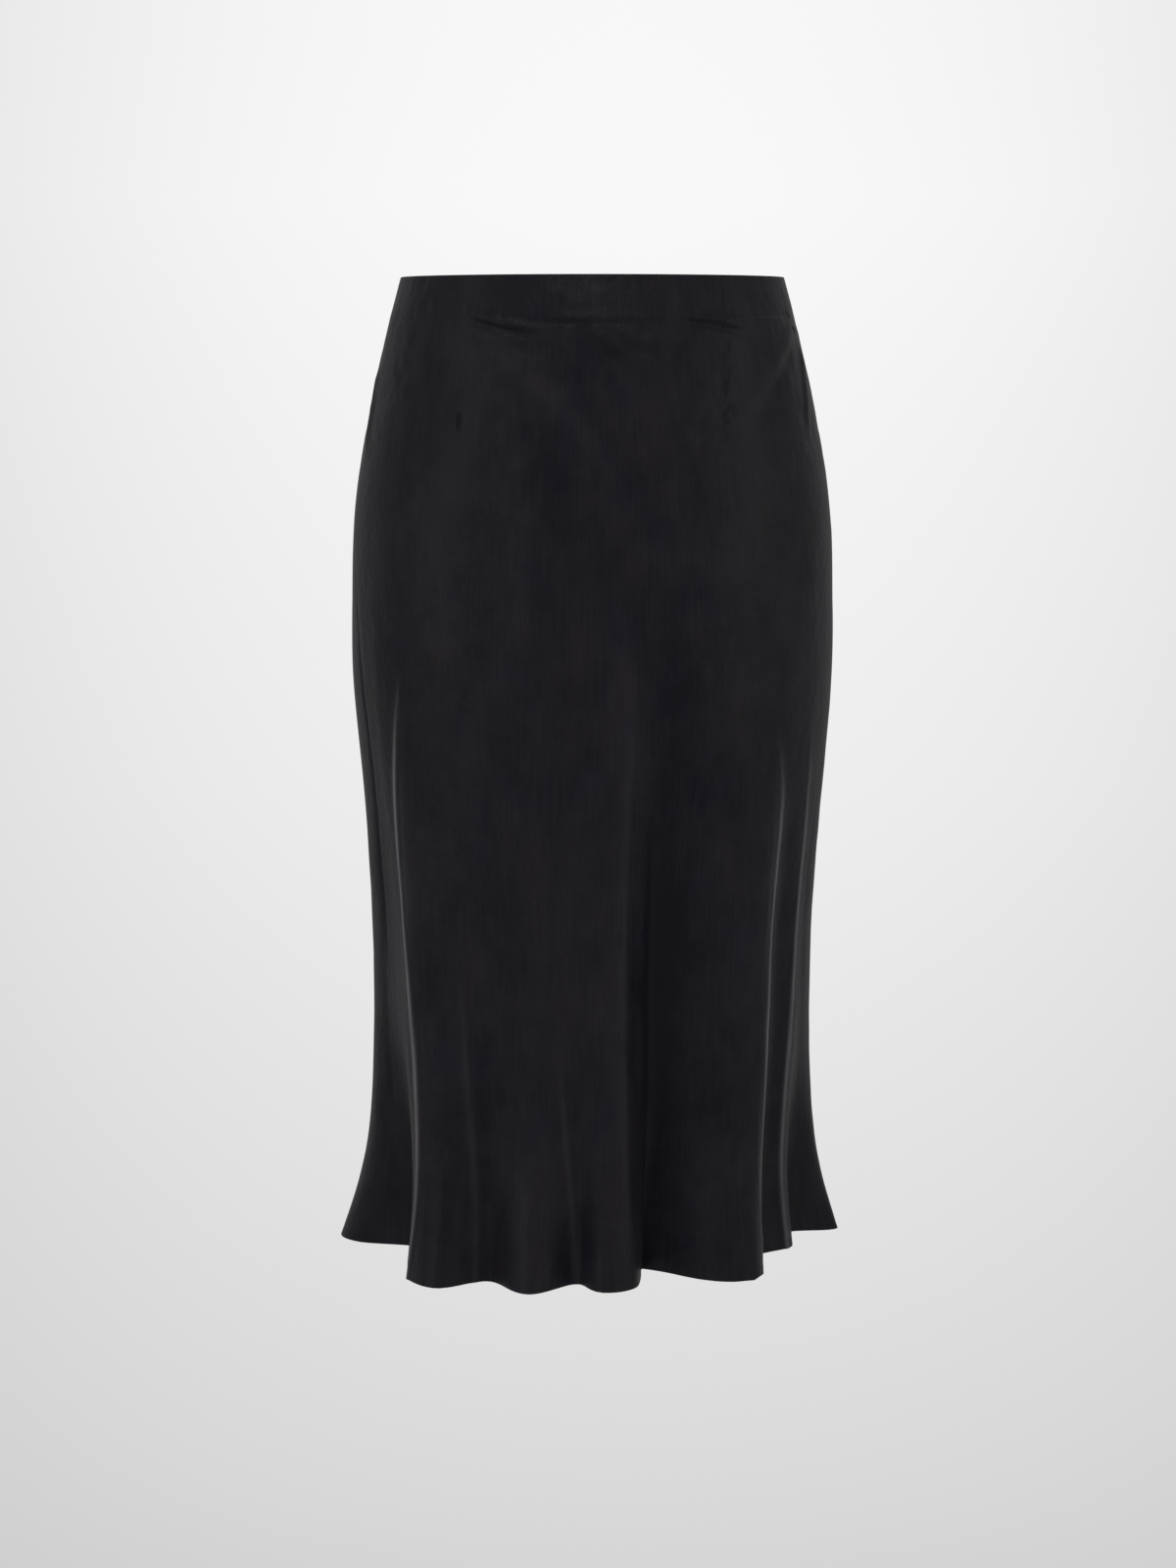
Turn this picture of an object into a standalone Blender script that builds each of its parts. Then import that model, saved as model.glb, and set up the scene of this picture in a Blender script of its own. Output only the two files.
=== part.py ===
"""A slip skirt of satin on the bias, filled out as if worn, with nobody in it.

The cloth is one soft tube that hangs from the waist. At any drop below the waist edge, its ring in plan
is a plain ring of a general figure (SECTIONS), moved by the folds (FOLDS): none above where a fold starts,
the fold's place at knee height, then its place at the hem. Every cloth piece is a wall between two copies of
a stretch of this tube, and what lies inside the tube is made from the same points, moved in.

Metres, +Z up, front towards -Y, the origin at the centre of the waist opening. Angles run round the body
from the centre front (0) towards the wearer's left (+90, at +X).
"""

import math
from collections import namedtuple

import bmesh
import bpy
import numpy as np
from mathutils import Matrix, Vector

# Driving sizes
LENGTH = 0.745  # waist edge to hem
KNEE_DROP = 0.535  # where the folds have their places at the knee
HEM_RUSH = 1.8  # the power with which a fold opens between the knee and the hem
SEAM_ANGLE = 101  # both side seams, a little behind the widest line
CLOTH = 0.0014  # wall of the panels
TURNED_HEM = 0.0022  # wall where the hem is turned up
HEM_TURN = 0.008  # depth of that turning
GAP = 0.0003  # between pieces that are sewn together

# Waist
FACING_DEPTH = 0.034
FACING_WALL = 0.0010
FACING_LAYER = CLOTH + GAP  # how far inside the tube the facings and the zip's tape lie
DART_PINCH = 0.0016  # how far the cloth is drawn in along a dart
DART_HALF_WIDTH = 0.0032

# Concealed zip in the wearer's left side seam
ZIP_END = 0.190  # drop of its lower end
TAPE_WIDTH = 0.0110
TAPE_WALL = 0.0007
TAPE_PARTING = 0.0012  # half the space between the two tapes
COIL_LAYER = FACING_LAYER + TAPE_WALL + GAP  # how far inside the tube the coil lies
COIL_WIDTH = 0.0040
COIL_WALL = 0.0012
MOUTH_HALF_GAP = 0.0010  # the panels part this far from the seam line around the slider
MOUTH_END = 0.017  # and meet again here

# The zip's slider: a body behind the tape, and a bridge out between the panels to a plate with cheeks and a pin
SLIDER_DROP = 0.0085  # its middle, below the waist edge
BODY_LENGTH = 0.0090
BODY_HALF_WIDTH = 0.0024
BODY_WALL = 0.0017
BRIDGE_HALF_WIDTH = 0.0006
BRIDGE_FOOT, BRIDGE_HEAD = -0.0006, 0.0027  # its ends along the zip, from the slider's middle
PLATE_HALF_WIDTH = 0.0021
PLATE_HALF_LENGTH = 0.0030
PLATE_WALL = 0.0005
CHEEK_HALF_LENGTH = 0.0012
PIN_RADIUS = 0.0004

# Its pull tab: a teardrop plate on a barrel round the pin
BARREL_BORE = 0.0007
BARREL_RADIUS = 0.0011
BARREL_HALF_LENGTH = 0.0010
TAB_LENGTH = 0.0170  # from the pin's middle
TAB_HALF_WIDTH = 0.0023
TAB_WALL = 0.0008
TAB_BACK = 0.0010  # the plate's back face, in from the pin's middle
NECK_HALF_WIDTH = 0.0009
NECK_TOP, NECK_END = -0.0008, -0.0026  # where the plate's narrow part starts and ends, along the tab
PIN_HEIGHT = GAP + PLATE_WALL + GAP + BARREL_RADIUS  # the pin's middle, out from the cloth
ROUND_SIDES = 24

# Every cloth piece has its points at some of these drops and columns, so that neighbours stay parallel
FRONT_COLUMNS = 54
BACK_COLUMNS = 41
DART_COLUMNS = (-3.2, -1.5, 0, 1.5, 3.2)  # degrees from a dart's line
LEAST_STEP = 1.6  # degrees between any other two columns
DROPS = np.concatenate(
    [
        (0, SLIDER_DROP, MOUTH_END, FACING_DEPTH, 0.065, 0.115, ZIP_END),
        (0.250, 0.320, 0.390, 0.460, KNEE_DROP, 0.590, 0.640, 0.685, 0.716),
        (LENGTH - HEM_TURN - GAP, LENGTH - HEM_TURN, LENGTH),
    ]
)

# The plain ring at each drop: half its width, and how far it reaches forward and back
Section = namedtuple("Section", "drop half_width front back")
SECTIONS = [
    Section(0.000, 0.1437, 0.104, 0.108),
    Section(0.035, 0.1530, 0.112, 0.116),
    Section(0.100, 0.1668, 0.120, 0.130),
    Section(0.170, 0.1780, 0.124, 0.142),
    Section(0.240, 0.1810, 0.126, 0.145),
    Section(0.300, 0.1810, 0.126, 0.142),
    Section(0.360, 0.1765, 0.125, 0.136),
    Section(0.430, 0.1705, 0.123, 0.130),
    Section(0.535, 0.1665, 0.121, 0.127),
    Section(0.620, 0.1685, 0.122, 0.128),
    Section(0.690, 0.1775, 0.125, 0.132),
    Section(0.745, 0.1935, 0.131, 0.139),
]

# Each crest and hollow of the folds, round from the wearer's right: its place in plan at the hem and at the
# knee, and the drop at which it starts
Fold = namedtuple("Fold", "name hem_x hem_y knee_x knee_y start")
FOLDS = [
    Fold("right side tip", -0.198, 0.027, -0.167, 0.005, 0.30),
    Fold("right side", -0.178, 0.000, -0.162, -0.018, 0.25),
    Fold("right side, inner", -0.145, -0.008, -0.153, -0.033, 0.22),
    Fold("right hollow", -0.117, -0.032, -0.148, -0.048, 0.22),
    Fold("right edge, behind", -0.130, -0.068, -0.144, -0.060, 0.27),
    Fold("right edge", -0.139, -0.100, -0.136, -0.079, 0.27),
    Fold("first flute", -0.110, -0.127, -0.108, -0.096, 0.40),
    Fold("first dip", -0.079, -0.109, -0.082, -0.104, 0.40),
    Fold("second flute", -0.060, -0.134, -0.060, -0.111, 0.40),
    Fold("second flute, flat", -0.032, -0.135, -0.030, -0.118, 0.40),
    Fold("second dip", -0.009, -0.117, -0.008, -0.123, 0.30),
    Fold("centre flute", 0.006, -0.139, 0.010, -0.126, 0.24),
    Fold("centre edge", 0.030, -0.129, 0.024, -0.1235, 0.24),
    Fold("centre edge, behind", 0.035, -0.098, 0.032, -0.106, 0.24),
    Fold("centre hollow", 0.038, -0.070, 0.048, -0.093, 0.24),
    Fold("left panel, inner", 0.066, -0.093, 0.070, -0.096, 0.30),
    Fold("left panel", 0.093, -0.109, 0.096, -0.098, 0.30),
    Fold("left edge", 0.129, -0.093, 0.129, -0.084, 0.27),
    Fold("left hollow", 0.126, -0.038, 0.137, -0.059, 0.30),
    Fold("outer edge", 0.154, -0.014, 0.150, -0.045, 0.30),
    Fold("outer hollow", 0.150, 0.026, 0.156, -0.024, 0.32),
    Fold("left side tip", 0.190, 0.040, 0.166, 0.006, 0.34),
    Fold("left side, behind", 0.176, 0.062, 0.160, 0.040, 0.34),
    Fold("back dip 1", 0.150, 0.072, 0.144, 0.059, 0.34),
    Fold("back flute 1", 0.139, 0.108, 0.126, 0.087, 0.30),
    Fold("back dip 2", 0.106, 0.094, 0.102, 0.094, 0.36),
    Fold("back flute 2", 0.083, 0.136, 0.078, 0.115, 0.33),
    Fold("back flute 2, flat", 0.056, 0.143, 0.052, 0.125, 0.33),
    Fold("back dip 3", 0.033, 0.108, 0.030, 0.119, 0.28),
    Fold("back flute 3", 0.006, 0.146, 0.006, 0.132, 0.38),
    Fold("back dip 4", -0.022, 0.126, -0.022, 0.125, 0.40),
    Fold("back flute 4", -0.054, 0.151, -0.052, 0.126, 0.30),
    Fold("back dip 5", -0.089, 0.104, -0.086, 0.104, 0.30),
    Fold("back flute 5", -0.116, 0.124, -0.110, 0.101, 0.36),
    Fold("back dip 6", -0.134, 0.084, -0.128, 0.079, 0.36),
    Fold("back flute 6", -0.164, 0.086, -0.147, 0.064, 0.32),
    Fold("right side, behind", -0.178, 0.058, -0.161, 0.037, 0.34),
]

# The waist darts: the angle of each at the waist edge and at its point, and how far down it reaches
Dart = namedtuple("Dart", "name waist_angle point_angle depth")
DARTS = [
    Dart("front, wearer's right", -38.0, -35.5, 0.112),
    Dart("front, wearer's left", 40.5, 34.5, 0.104),
    Dart("back, wearer's left", 140.0, 143.0, 0.130),
    Dart("back, wearer's right", 220.0, 217.0, 0.130),
]

# Colours, roughness and metallic value of each finish
Finish = namedtuple("Finish", "name colour roughness metallic")
SATIN = Finish("black satin", (0.012, 0.012, 0.013), 0.42, 0.0)
FACING_SATIN = Finish("black satin, inside", (0.014, 0.013, 0.014), 0.50, 0.0)
TAPE = Finish("black zip tape", (0.010, 0.010, 0.011), 0.80, 0.0)
COIL = Finish("black nylon coil", (0.012, 0.012, 0.012), 0.45, 0.0)
ENAMEL = Finish("black enamelled metal", (0.015, 0.015, 0.016), 0.30, 0.6)


# --- The form ---


def curve_through(at, values, where):
    """The natural cubic spline: passes through values[i] at at[i], with no kink and no jump in its bend.

    Its second derivatives m solve h0 m0 + 2 (h0 + h1) m1 + h1 m2 = 6 (slope1 - slope0) at each inner point.
    """
    at, values, where = np.asarray(at, float), np.asarray(values, float), np.asarray(where, float)
    step = np.diff(at)[:, None]
    system = np.eye(len(at))
    for i in range(1, len(at) - 1):
        system[i, i - 1 : i + 2] = step[i - 1, 0], 2 * (step[i - 1, 0] + step[i, 0]), step[i, 0]
    turns = np.zeros_like(values)
    turns[1:-1] = 6 * np.diff(np.diff(values, axis=0) / step, axis=0)
    bend = np.linalg.solve(system, turns)
    i = np.clip(np.searchsorted(at, where) - 1, 0, len(at) - 2)
    h = step[i]
    b = (where - at[i])[..., None] / h
    a = 1 - b
    return a * values[i] + b * values[i + 1] + ((a**3 - a) * bend[i] + (b**3 - b) * bend[i + 1]) * h**2 / 6


def eased(share):
    """0 below 0, 1 above 1, and a smooth step between them."""
    share = np.clip(share, 0, 1)
    return share * share * (3 - 2 * share)


def plain_ring(angle, drop):
    """x, y of the figure's ring: an ellipse whose front and back halves have their own depths."""
    sizes = np.array([section[1:] for section in SECTIONS])
    half_width, front, back = np.moveaxis(curve_through([s.drop for s in SECTIONS], sizes, drop), -1, 0)
    depth = np.where(np.cos(angle) > 0, front, back)
    return np.stack([half_width * np.sin(angle), -depth * np.cos(angle)], axis=-1)


def fold_angles():
    """The angle of each fold's line: that of its place at the knee on the plain ring there."""
    knee = SECTIONS[[s.drop for s in SECTIONS].index(KNEE_DROP)]
    angles = []
    for fold in FOLDS:
        depth = knee.front if fold.knee_y < 0 else knee.back
        angles.append(math.atan2(fold.knee_x / knee.half_width, -fold.knee_y / depth))
    return np.unwrap(angles)


def round_the_body(values, angle):
    """A smooth value at any angle from one value a fold, the same again each turn."""
    own, turn = fold_angles(), 2 * math.pi
    lines = np.concatenate([own - turn, own, own + turn])
    return curve_through(lines, np.concatenate([values] * 3), angle)


def dart_line(dart, drop):
    """The dart's angle at a drop. Below its point the line runs straight on down the cloth."""
    share = np.clip(drop / dart.depth, 0, 1)
    return np.radians(dart.waist_angle + (dart.point_angle - dart.waist_angle) * share)


def dart_pinch(angle, drop):
    """How far the cloth is drawn in at a dart: a groove that is gone at the dart's point."""
    pinch = np.zeros(angle.shape)
    for dart in DARTS:
        across = (angle - dart_line(dart, drop)) * SECTIONS[0].half_width / DART_HALF_WIDTH
        pinch += DART_PINCH * np.sqrt(1 - np.clip(drop / dart.depth, 0, 1)) * np.exp(-(across**2))
    return pinch


def tube(angle, drop):
    """x, y, z on the outside of the cloth."""
    angle, drop = np.broadcast_arrays(angle, drop)
    at_hem = np.array([(fold.hem_x, fold.hem_y) for fold in FOLDS]) - plain_ring(fold_angles(), LENGTH)
    at_knee = np.array([(fold.knee_x, fold.knee_y) for fold in FOLDS]) - plain_ring(fold_angles(), KNEE_DROP)
    start = round_the_body(np.array([[fold.start] for fold in FOLDS]), angle)[..., 0]
    opened = np.clip((drop - KNEE_DROP) / (LENGTH - KNEE_DROP), 0, 1) ** HEM_RUSH
    risen = eased((drop - start) / (KNEE_DROP - start)) * (1 - opened)
    ring = plain_ring(angle, drop) * (1 - dart_pinch(angle, drop) / SECTIONS[0].front)[..., None]
    ring += round_the_body(at_knee, angle) * risen[..., None]
    ring += round_the_body(at_hem, angle) * opened[..., None]
    return np.concatenate([ring, -drop[..., None]], axis=-1)


def tube_frame(angle, drop):
    """Points on the tube, the outward normal, the way down the cloth, and the metres that a radian spans."""
    tiny = 1e-4
    across = tube(angle + tiny, drop) - tube(angle - tiny, drop)
    down = tube(angle, np.minimum(drop + tiny, LENGTH)) - tube(angle, np.maximum(drop - tiny, 0))
    outward = np.cross(across, -down)
    outward /= np.linalg.norm(outward, axis=-1, keepdims=True)
    down /= np.linalg.norm(down, axis=-1, keepdims=True)
    return tube(angle, drop), outward, down, np.linalg.norm(across, axis=-1) / (2 * tiny)


# --- Making objects ---


def material_of(finish):
    found = bpy.data.materials.get(finish.name)
    if found:
        return found
    material = bpy.data.materials.new(finish.name)
    material.use_nodes = True
    shader = material.node_tree.nodes["Principled BSDF"]
    shader.inputs["Base Color"].default_value = (*finish.colour, 1)
    shader.inputs["Roughness"].default_value = finish.roughness
    shader.inputs["Metallic"].default_value = finish.metallic
    return material


def new_object(name, mesh, finish, parent):
    mesh.materials.append(material_of(finish))
    made = bpy.data.objects.new(name, mesh)
    bpy.context.scene.collection.objects.link(made)
    made.parent = parent
    return made


def solid_from(name, bm, finish, parent, placing):
    """The bmesh's solid in its own axes, put in place by a matrix."""
    bmesh.ops.recalc_face_normals(bm, faces=bm.faces)
    mesh = bpy.data.meshes.new(name)
    bm.to_mesh(mesh)
    bm.free()
    mesh.shade_smooth()
    mesh.set_sharp_from_angle(angle=math.radians(40))
    made = new_object(name, mesh, finish, parent)
    made.matrix_world = placing
    return made


def cloth_wall(name, angles, drops, depth, wall, finish, parent):
    """A closed wall between two grids: points of the tube moved in by depth, and the same moved in by wall more.

    Each grid has a row for each drop, and a column for each angle of that row. wall is one number, or one for
    each row.
    """
    points, outward, _, _ = tube_frame(angles, drops[:, None])
    outside = points - depth * outward
    inside = outside - np.broadcast_to(wall, drops.shape)[:, None, None] * outward
    rows, columns = angles.shape
    bm = bmesh.new()
    front, back = ([[bm.verts.new(point) for point in row] for row in grid] for grid in (outside, inside))
    for i in range(rows - 1):
        for j in range(columns - 1):
            bm.faces.new((front[i][j], front[i + 1][j], front[i + 1][j + 1], front[i][j + 1]))
            bm.faces.new((back[i][j], back[i][j + 1], back[i + 1][j + 1], back[i + 1][j]))
    rim = [(i, 0) for i in range(rows)] + [(rows - 1, j) for j in range(1, columns)]
    rim += [(i, columns - 1) for i in range(rows - 2, -1, -1)] + [(0, j) for j in range(columns - 2, 0, -1)]
    for (i, j), (k, m) in zip(rim, rim[1:] + rim[:1]):
        bm.faces.new((front[k][m], front[i][j], back[i][j], back[k][m]))
    return solid_from(name, bm, finish, parent, Matrix())


# --- Panels and facings ---


def seam_edge(seam, side, zipped):
    """The angle of a panel's edge at each drop: half a gap from the seam line, and more at the zip's mouth."""
    parted = 1 - eased((DROPS - SLIDER_DROP) / (MOUTH_END - SLIDER_DROP)) if zipped else 0
    half_gap = GAP / 2 + (MOUTH_HALF_GAP - GAP / 2) * parted
    _, _, _, radian = tube_frame(np.full_like(DROPS, seam), DROPS)
    return seam + side * half_gap / radian


def spread_out(first, last, count):
    """Angles from seam to seam, closer together where the hem has more cloth: even steps of waist plus hem."""
    fine = np.linspace(first, last, 2000)
    edges = [tube(fine, np.full_like(fine, drop)) for drop in (0, LENGTH)]
    steps = sum(np.linalg.norm(np.diff(edge, axis=0), axis=-1) for edge in edges)
    run = np.concatenate([[0], np.cumsum(steps)])
    return np.interp(np.linspace(0, run[-1], count), run, fine)


def panel_columns(first, last, count, zipped_end):
    """The angles of a panel's columns at each drop, from seam edge to seam edge.

    Guide columns follow the seams, the darts and the zip's tape down the cloth, and the even ones keep their
    places between them.
    """
    guides = [seam_edge(first, 1, zipped_end == "first"), seam_edge(last, -1, zipped_end == "last")]
    for dart in DARTS:
        if first < math.radians(dart.waist_angle) < last:
            guides += [dart_line(dart, DROPS) + aside for aside in np.radians(DART_COLUMNS)]
    zip_seam, side = (first, 1) if zipped_end == "first" else (last, -1)
    _, _, _, radian = tube_frame(np.full_like(DROPS, zip_seam), DROPS)
    guides += [zip_seam + side * (TAPE_PARTING + share * TAPE_WIDTH) / radian for share in (0.5, 1)]
    guides = np.array(sorted(guides, key=lambda guide: guide[0]))
    even = spread_out(first, last, count)
    to_a_guide = abs(even[:, None] - guides[:, 0]).min(axis=1)
    columns = np.sort(np.concatenate([guides[:, 0], even[to_a_guide > math.radians(LEAST_STEP)]]))
    return np.array([np.interp(columns, guides[:, 0], places) for places in guides.T])


def panel(name, columns, parent):
    wall = np.where(DROPS > LENGTH - HEM_TURN - GAP / 2, TURNED_HEM, CLOTH)
    return cloth_wall(name, columns, DROPS, 0, wall, SATIN, parent)


def facing(name, columns, zipped_end, parent):
    """The shaped strip inside the waist edge, on the panel's columns. It stops short of the zip's tape."""
    rows = DROPS <= FACING_DEPTH
    angles = columns[rows]
    clear = (TAPE_PARTING + TAPE_WIDTH + GAP) / tube_frame(np.radians([SEAM_ANGLE]), DROPS[:1])[3][0]
    seam = math.radians(SEAM_ANGLE)
    kept = angles[0] < seam - clear if zipped_end == "last" else angles[0] > seam + clear
    return cloth_wall(name, angles[:, kept], DROPS[rows], FACING_LAYER, FACING_WALL, FACING_SATIN, parent)


# --- The concealed zip ---


def zip_strip(name, sides, drops, depth, wall, finish, parent):
    """A strip along the wearer's left seam, between two distances from the seam line, inside the cloth."""
    seam = np.full_like(drops, math.radians(SEAM_ANGLE))
    _, _, _, radian = tube_frame(seam, drops)
    angles = seam[:, None] + np.linspace(*sides, 3) / radian[:, None]
    return cloth_wall(name, angles, drops, depth, wall, finish, parent)


def box(bm, across, out, along):
    """A box from one value to the other along X, Y and Z."""
    low, high = (Vector(ends) for ends in zip(across, out, along))
    placing = Matrix.Translation((low + high) / 2) @ Matrix.Diagonal((*(high - low), 1))
    bmesh.ops.create_cube(bm, size=1, matrix=placing)


def round_bar(bm, radius, half_length, height):
    """A round bar along X, with its middle that far out along Y."""
    placing = Matrix.Translation((0, height, 0)) @ Matrix.Rotation(math.pi / 2, 4, "Y")
    sizes = {"radius1": radius, "radius2": radius, "depth": 2 * half_length}
    bmesh.ops.create_cone(bm, cap_ends=True, segments=ROUND_SIDES, matrix=placing, **sizes)


def barrel(bm, bore, outer, half_length):
    """A tube along X through the origin."""
    turns = [2 * math.pi * i / ROUND_SIDES for i in range(ROUND_SIDES)]
    corners = ((outer, half_length), (outer, -half_length), (bore, -half_length), (bore, half_length))
    loops = [[bm.verts.new((x, r * math.cos(turn), r * math.sin(turn))) for turn in turns] for r, x in corners]
    for here, after in zip(loops, loops[1:] + loops[:1]):
        for i in range(ROUND_SIDES):
            j = (i + 1) % ROUND_SIDES
            bm.faces.new((here[i], here[j], after[j], after[i]))


def united(name, makers, finish, parent, placing):
    """The union of simple solids: the first is the object, and the others stay beside it as hidden helpers."""
    whole = None
    for number, maker in enumerate(makers):
        bm = bmesh.new()
        maker(bm)
        piece = solid_from(name if whole is None else f"{name} helper {number}", bm, finish, parent, placing)
        if whole is None:
            whole = piece
            continue
        piece.hide_render = True
        piece.display_type = "WIRE"
        join = whole.modifiers.new(f"Join {number}", "BOOLEAN")
        join.operation = "UNION"
        join.object = piece
    return whole


def slider_placing(height):
    """Axes at the slider: X along its pin towards the front, Y out from the cloth, Z up the cloth."""
    seam = np.radians(np.array([SEAM_ANGLE]))
    point, outward, down, _ = (found[0] for found in tube_frame(seam, np.array([SLIDER_DROP])))
    point, outward, down = Vector(point), Vector(outward), Vector(down)
    up = -down
    pin = outward.cross(up).normalized()
    placing = Matrix((pin, outward, up)).transposed().to_4x4()
    placing.translation = point + outward * height
    return placing


def zip_slider(parent):
    """The slider, from the body on the coil inside to the pin outside."""
    cheek_inner = BARREL_HALF_LENGTH + GAP

    def body(bm):
        half = BODY_LENGTH / 2
        box(bm, (-BODY_HALF_WIDTH, BODY_HALF_WIDTH), (-COIL_LAYER - BODY_WALL, -COIL_LAYER), (-half, half))

    def bridge(bm):
        out = (-COIL_LAYER - BODY_WALL / 2, GAP + PLATE_WALL / 2)
        box(bm, (-BRIDGE_HALF_WIDTH, BRIDGE_HALF_WIDTH), out, (BRIDGE_FOOT, BRIDGE_HEAD))

    def plate(bm):
        along = (-PLATE_HALF_LENGTH, PLATE_HALF_LENGTH)
        box(bm, (-PLATE_HALF_WIDTH, PLATE_HALF_WIDTH), (GAP, GAP + PLATE_WALL), along)

    def cheek(bm, across):
        out = (GAP + PLATE_WALL / 2, PIN_HEIGHT + 2 * PIN_RADIUS)
        box(bm, across, out, (-CHEEK_HALF_LENGTH, CHEEK_HALF_LENGTH))

    def front_cheek(bm):
        cheek(bm, (cheek_inner, PLATE_HALF_WIDTH))

    def back_cheek(bm):
        cheek(bm, (-PLATE_HALF_WIDTH, -cheek_inner))

    def pin(bm):
        round_bar(bm, PIN_RADIUS, (cheek_inner + PLATE_HALF_WIDTH) / 2, PIN_HEIGHT)

    makers = (body, bridge, plate, front_cheek, back_cheek, pin)
    return united("zip_slider", makers, ENAMEL, parent, slider_placing(0))


def zip_pull_tab(parent):
    """The pull tab, with its origin on the pin's axis. It hangs against the cloth."""

    def eye(bm):
        barrel(bm, BARREL_BORE, BARREL_RADIUS, BARREL_HALF_LENGTH)

    def plate(bm):
        outline = [(NECK_HALF_WIDTH, NECK_TOP), (-NECK_HALF_WIDTH, NECK_TOP), (-NECK_HALF_WIDTH, NECK_END)]
        for turn in np.radians(range(180, 361, 20)):
            outline.append((TAB_HALF_WIDTH * math.cos(turn), TAB_HALF_WIDTH * (1 + math.sin(turn)) - TAB_LENGTH))
        outline.append((NECK_HALF_WIDTH, NECK_END))
        face = bm.faces.new([bm.verts.new((x, -TAB_BACK, z)) for x, z in outline])
        grown = bmesh.ops.extrude_face_region(bm, geom=[face])["geom"]
        moved = [item for item in grown if isinstance(item, bmesh.types.BMVert)]
        bmesh.ops.translate(bm, verts=moved, vec=(0, TAB_WALL, 0))

    return united("zip_pull_tab", (eye, plate), ENAMEL, parent, slider_placing(PIN_HEIGHT))


# --- The skirt ---


def build():
    for old in list(bpy.data.objects):
        bpy.data.objects.remove(old, do_unlink=True)
    skirt = bpy.data.objects.new("skirt", None)
    bpy.context.scene.collection.objects.link(skirt)

    seam, turn = math.radians(SEAM_ANGLE), 2 * math.pi
    front = panel_columns(-seam, seam, FRONT_COLUMNS, "last")
    back = panel_columns(seam, turn - seam, BACK_COLUMNS, "first")
    panel("front_panel", front, skirt)
    panel("back_panel", back, skirt)
    facing("front_facing", front, "last", skirt)
    facing("back_facing", back, "first", skirt)

    far = TAPE_PARTING + TAPE_WIDTH
    tape_drops = DROPS[(DROPS > 0) & (DROPS <= ZIP_END)]
    zip_strip("zip_tape_front", (-far, -TAPE_PARTING), tape_drops, FACING_LAYER, TAPE_WALL, TAPE, skirt)
    zip_strip("zip_tape_back", (TAPE_PARTING, far), tape_drops, FACING_LAYER, TAPE_WALL, TAPE, skirt)
    coil_drops = tape_drops[tape_drops > SLIDER_DROP]
    coil_drops[0] = SLIDER_DROP + BODY_LENGTH / 2 + GAP
    coil_sides = (-COIL_WIDTH / 2, COIL_WIDTH / 2)
    zip_strip("zip_coil", coil_sides, coil_drops, COIL_LAYER, COIL_WALL, COIL, skirt)
    zip_slider(skirt)
    zip_pull_tab(skirt)


build()
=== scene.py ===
# %% [markdown]
# # A slip skirt in black sandwashed satin
#
# The construction of this skirt is a set of plain, closed solids, loaded here as a fixed frame. This file
# gives it its looks: the thin cloth with its creases and turned edges, the stitches, the zip, and the studio
# that shows the sheen. Everything is in metres, +Z up, with the front towards -Y and the origin at the centre
# of the waist opening.
#
# A skirt could be sculpted by hand or draped by a cloth simulation. Here it is a surface worked out from the
# maker's own sizes instead, so that each piece lies just where its solid is, and the same folds come out on
# every run.

# %% Load the frame
import math
from collections import namedtuple

import bpy
import numpy as np
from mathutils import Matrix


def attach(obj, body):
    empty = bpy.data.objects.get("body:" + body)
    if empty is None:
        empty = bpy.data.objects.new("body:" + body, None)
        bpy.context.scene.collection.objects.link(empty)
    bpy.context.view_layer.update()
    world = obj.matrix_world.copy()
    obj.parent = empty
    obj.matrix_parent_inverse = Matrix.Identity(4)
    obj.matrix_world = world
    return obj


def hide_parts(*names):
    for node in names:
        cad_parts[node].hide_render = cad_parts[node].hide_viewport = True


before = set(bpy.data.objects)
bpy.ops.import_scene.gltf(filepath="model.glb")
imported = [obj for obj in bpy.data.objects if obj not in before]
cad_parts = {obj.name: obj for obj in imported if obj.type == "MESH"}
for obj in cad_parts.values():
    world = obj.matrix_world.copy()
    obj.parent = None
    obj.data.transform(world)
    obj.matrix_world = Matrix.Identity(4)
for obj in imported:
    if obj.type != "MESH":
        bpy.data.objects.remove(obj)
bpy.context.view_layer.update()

# %% [markdown]
# ## The camera
#
# The skirt is seen from straight ahead and a little above its middle, so that the far hem shows higher than
# the near one. A long lens keeps the sides nearly parallel. The camera is level across, and only pitched down.

# %% Camera
CAMERA_PLACE = (-0.0033, -2.5, -0.0615)
CAMERA_PITCH = 7.35  # degrees below level
CAMERA_LENS = 75.51  # mm, on a sensor 36 mm along the picture's long side

camera = bpy.data.objects.new("camera", bpy.data.cameras.new("camera"))
camera.location = CAMERA_PLACE
camera.rotation_euler = (math.radians(90 - CAMERA_PITCH), 0, 0)
camera.data.lens = CAMERA_LENS
camera.data.sensor_width = 36
bpy.context.scene.collection.objects.link(camera)
bpy.context.scene.camera = camera
print("camera: %.2f mm lens, pitched down %.2f degrees" % (CAMERA_LENS, CAMERA_PITCH))

# %% [markdown]
# ## The worn form
#
# Cloth that hangs round a body is one tube. Its ring in plan starts as the figure's own oval and is then moved
# by the folds, which grow from nothing at the hips to deep flutes at the hem. So the whole form needs two
# short tables: the ovals, and the place of each fold at knee height and at the hem. A point on the tube has
# two coordinates: its angle round the body, from the centre front towards the wearer's left, and its drop
# below the waist edge.

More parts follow.
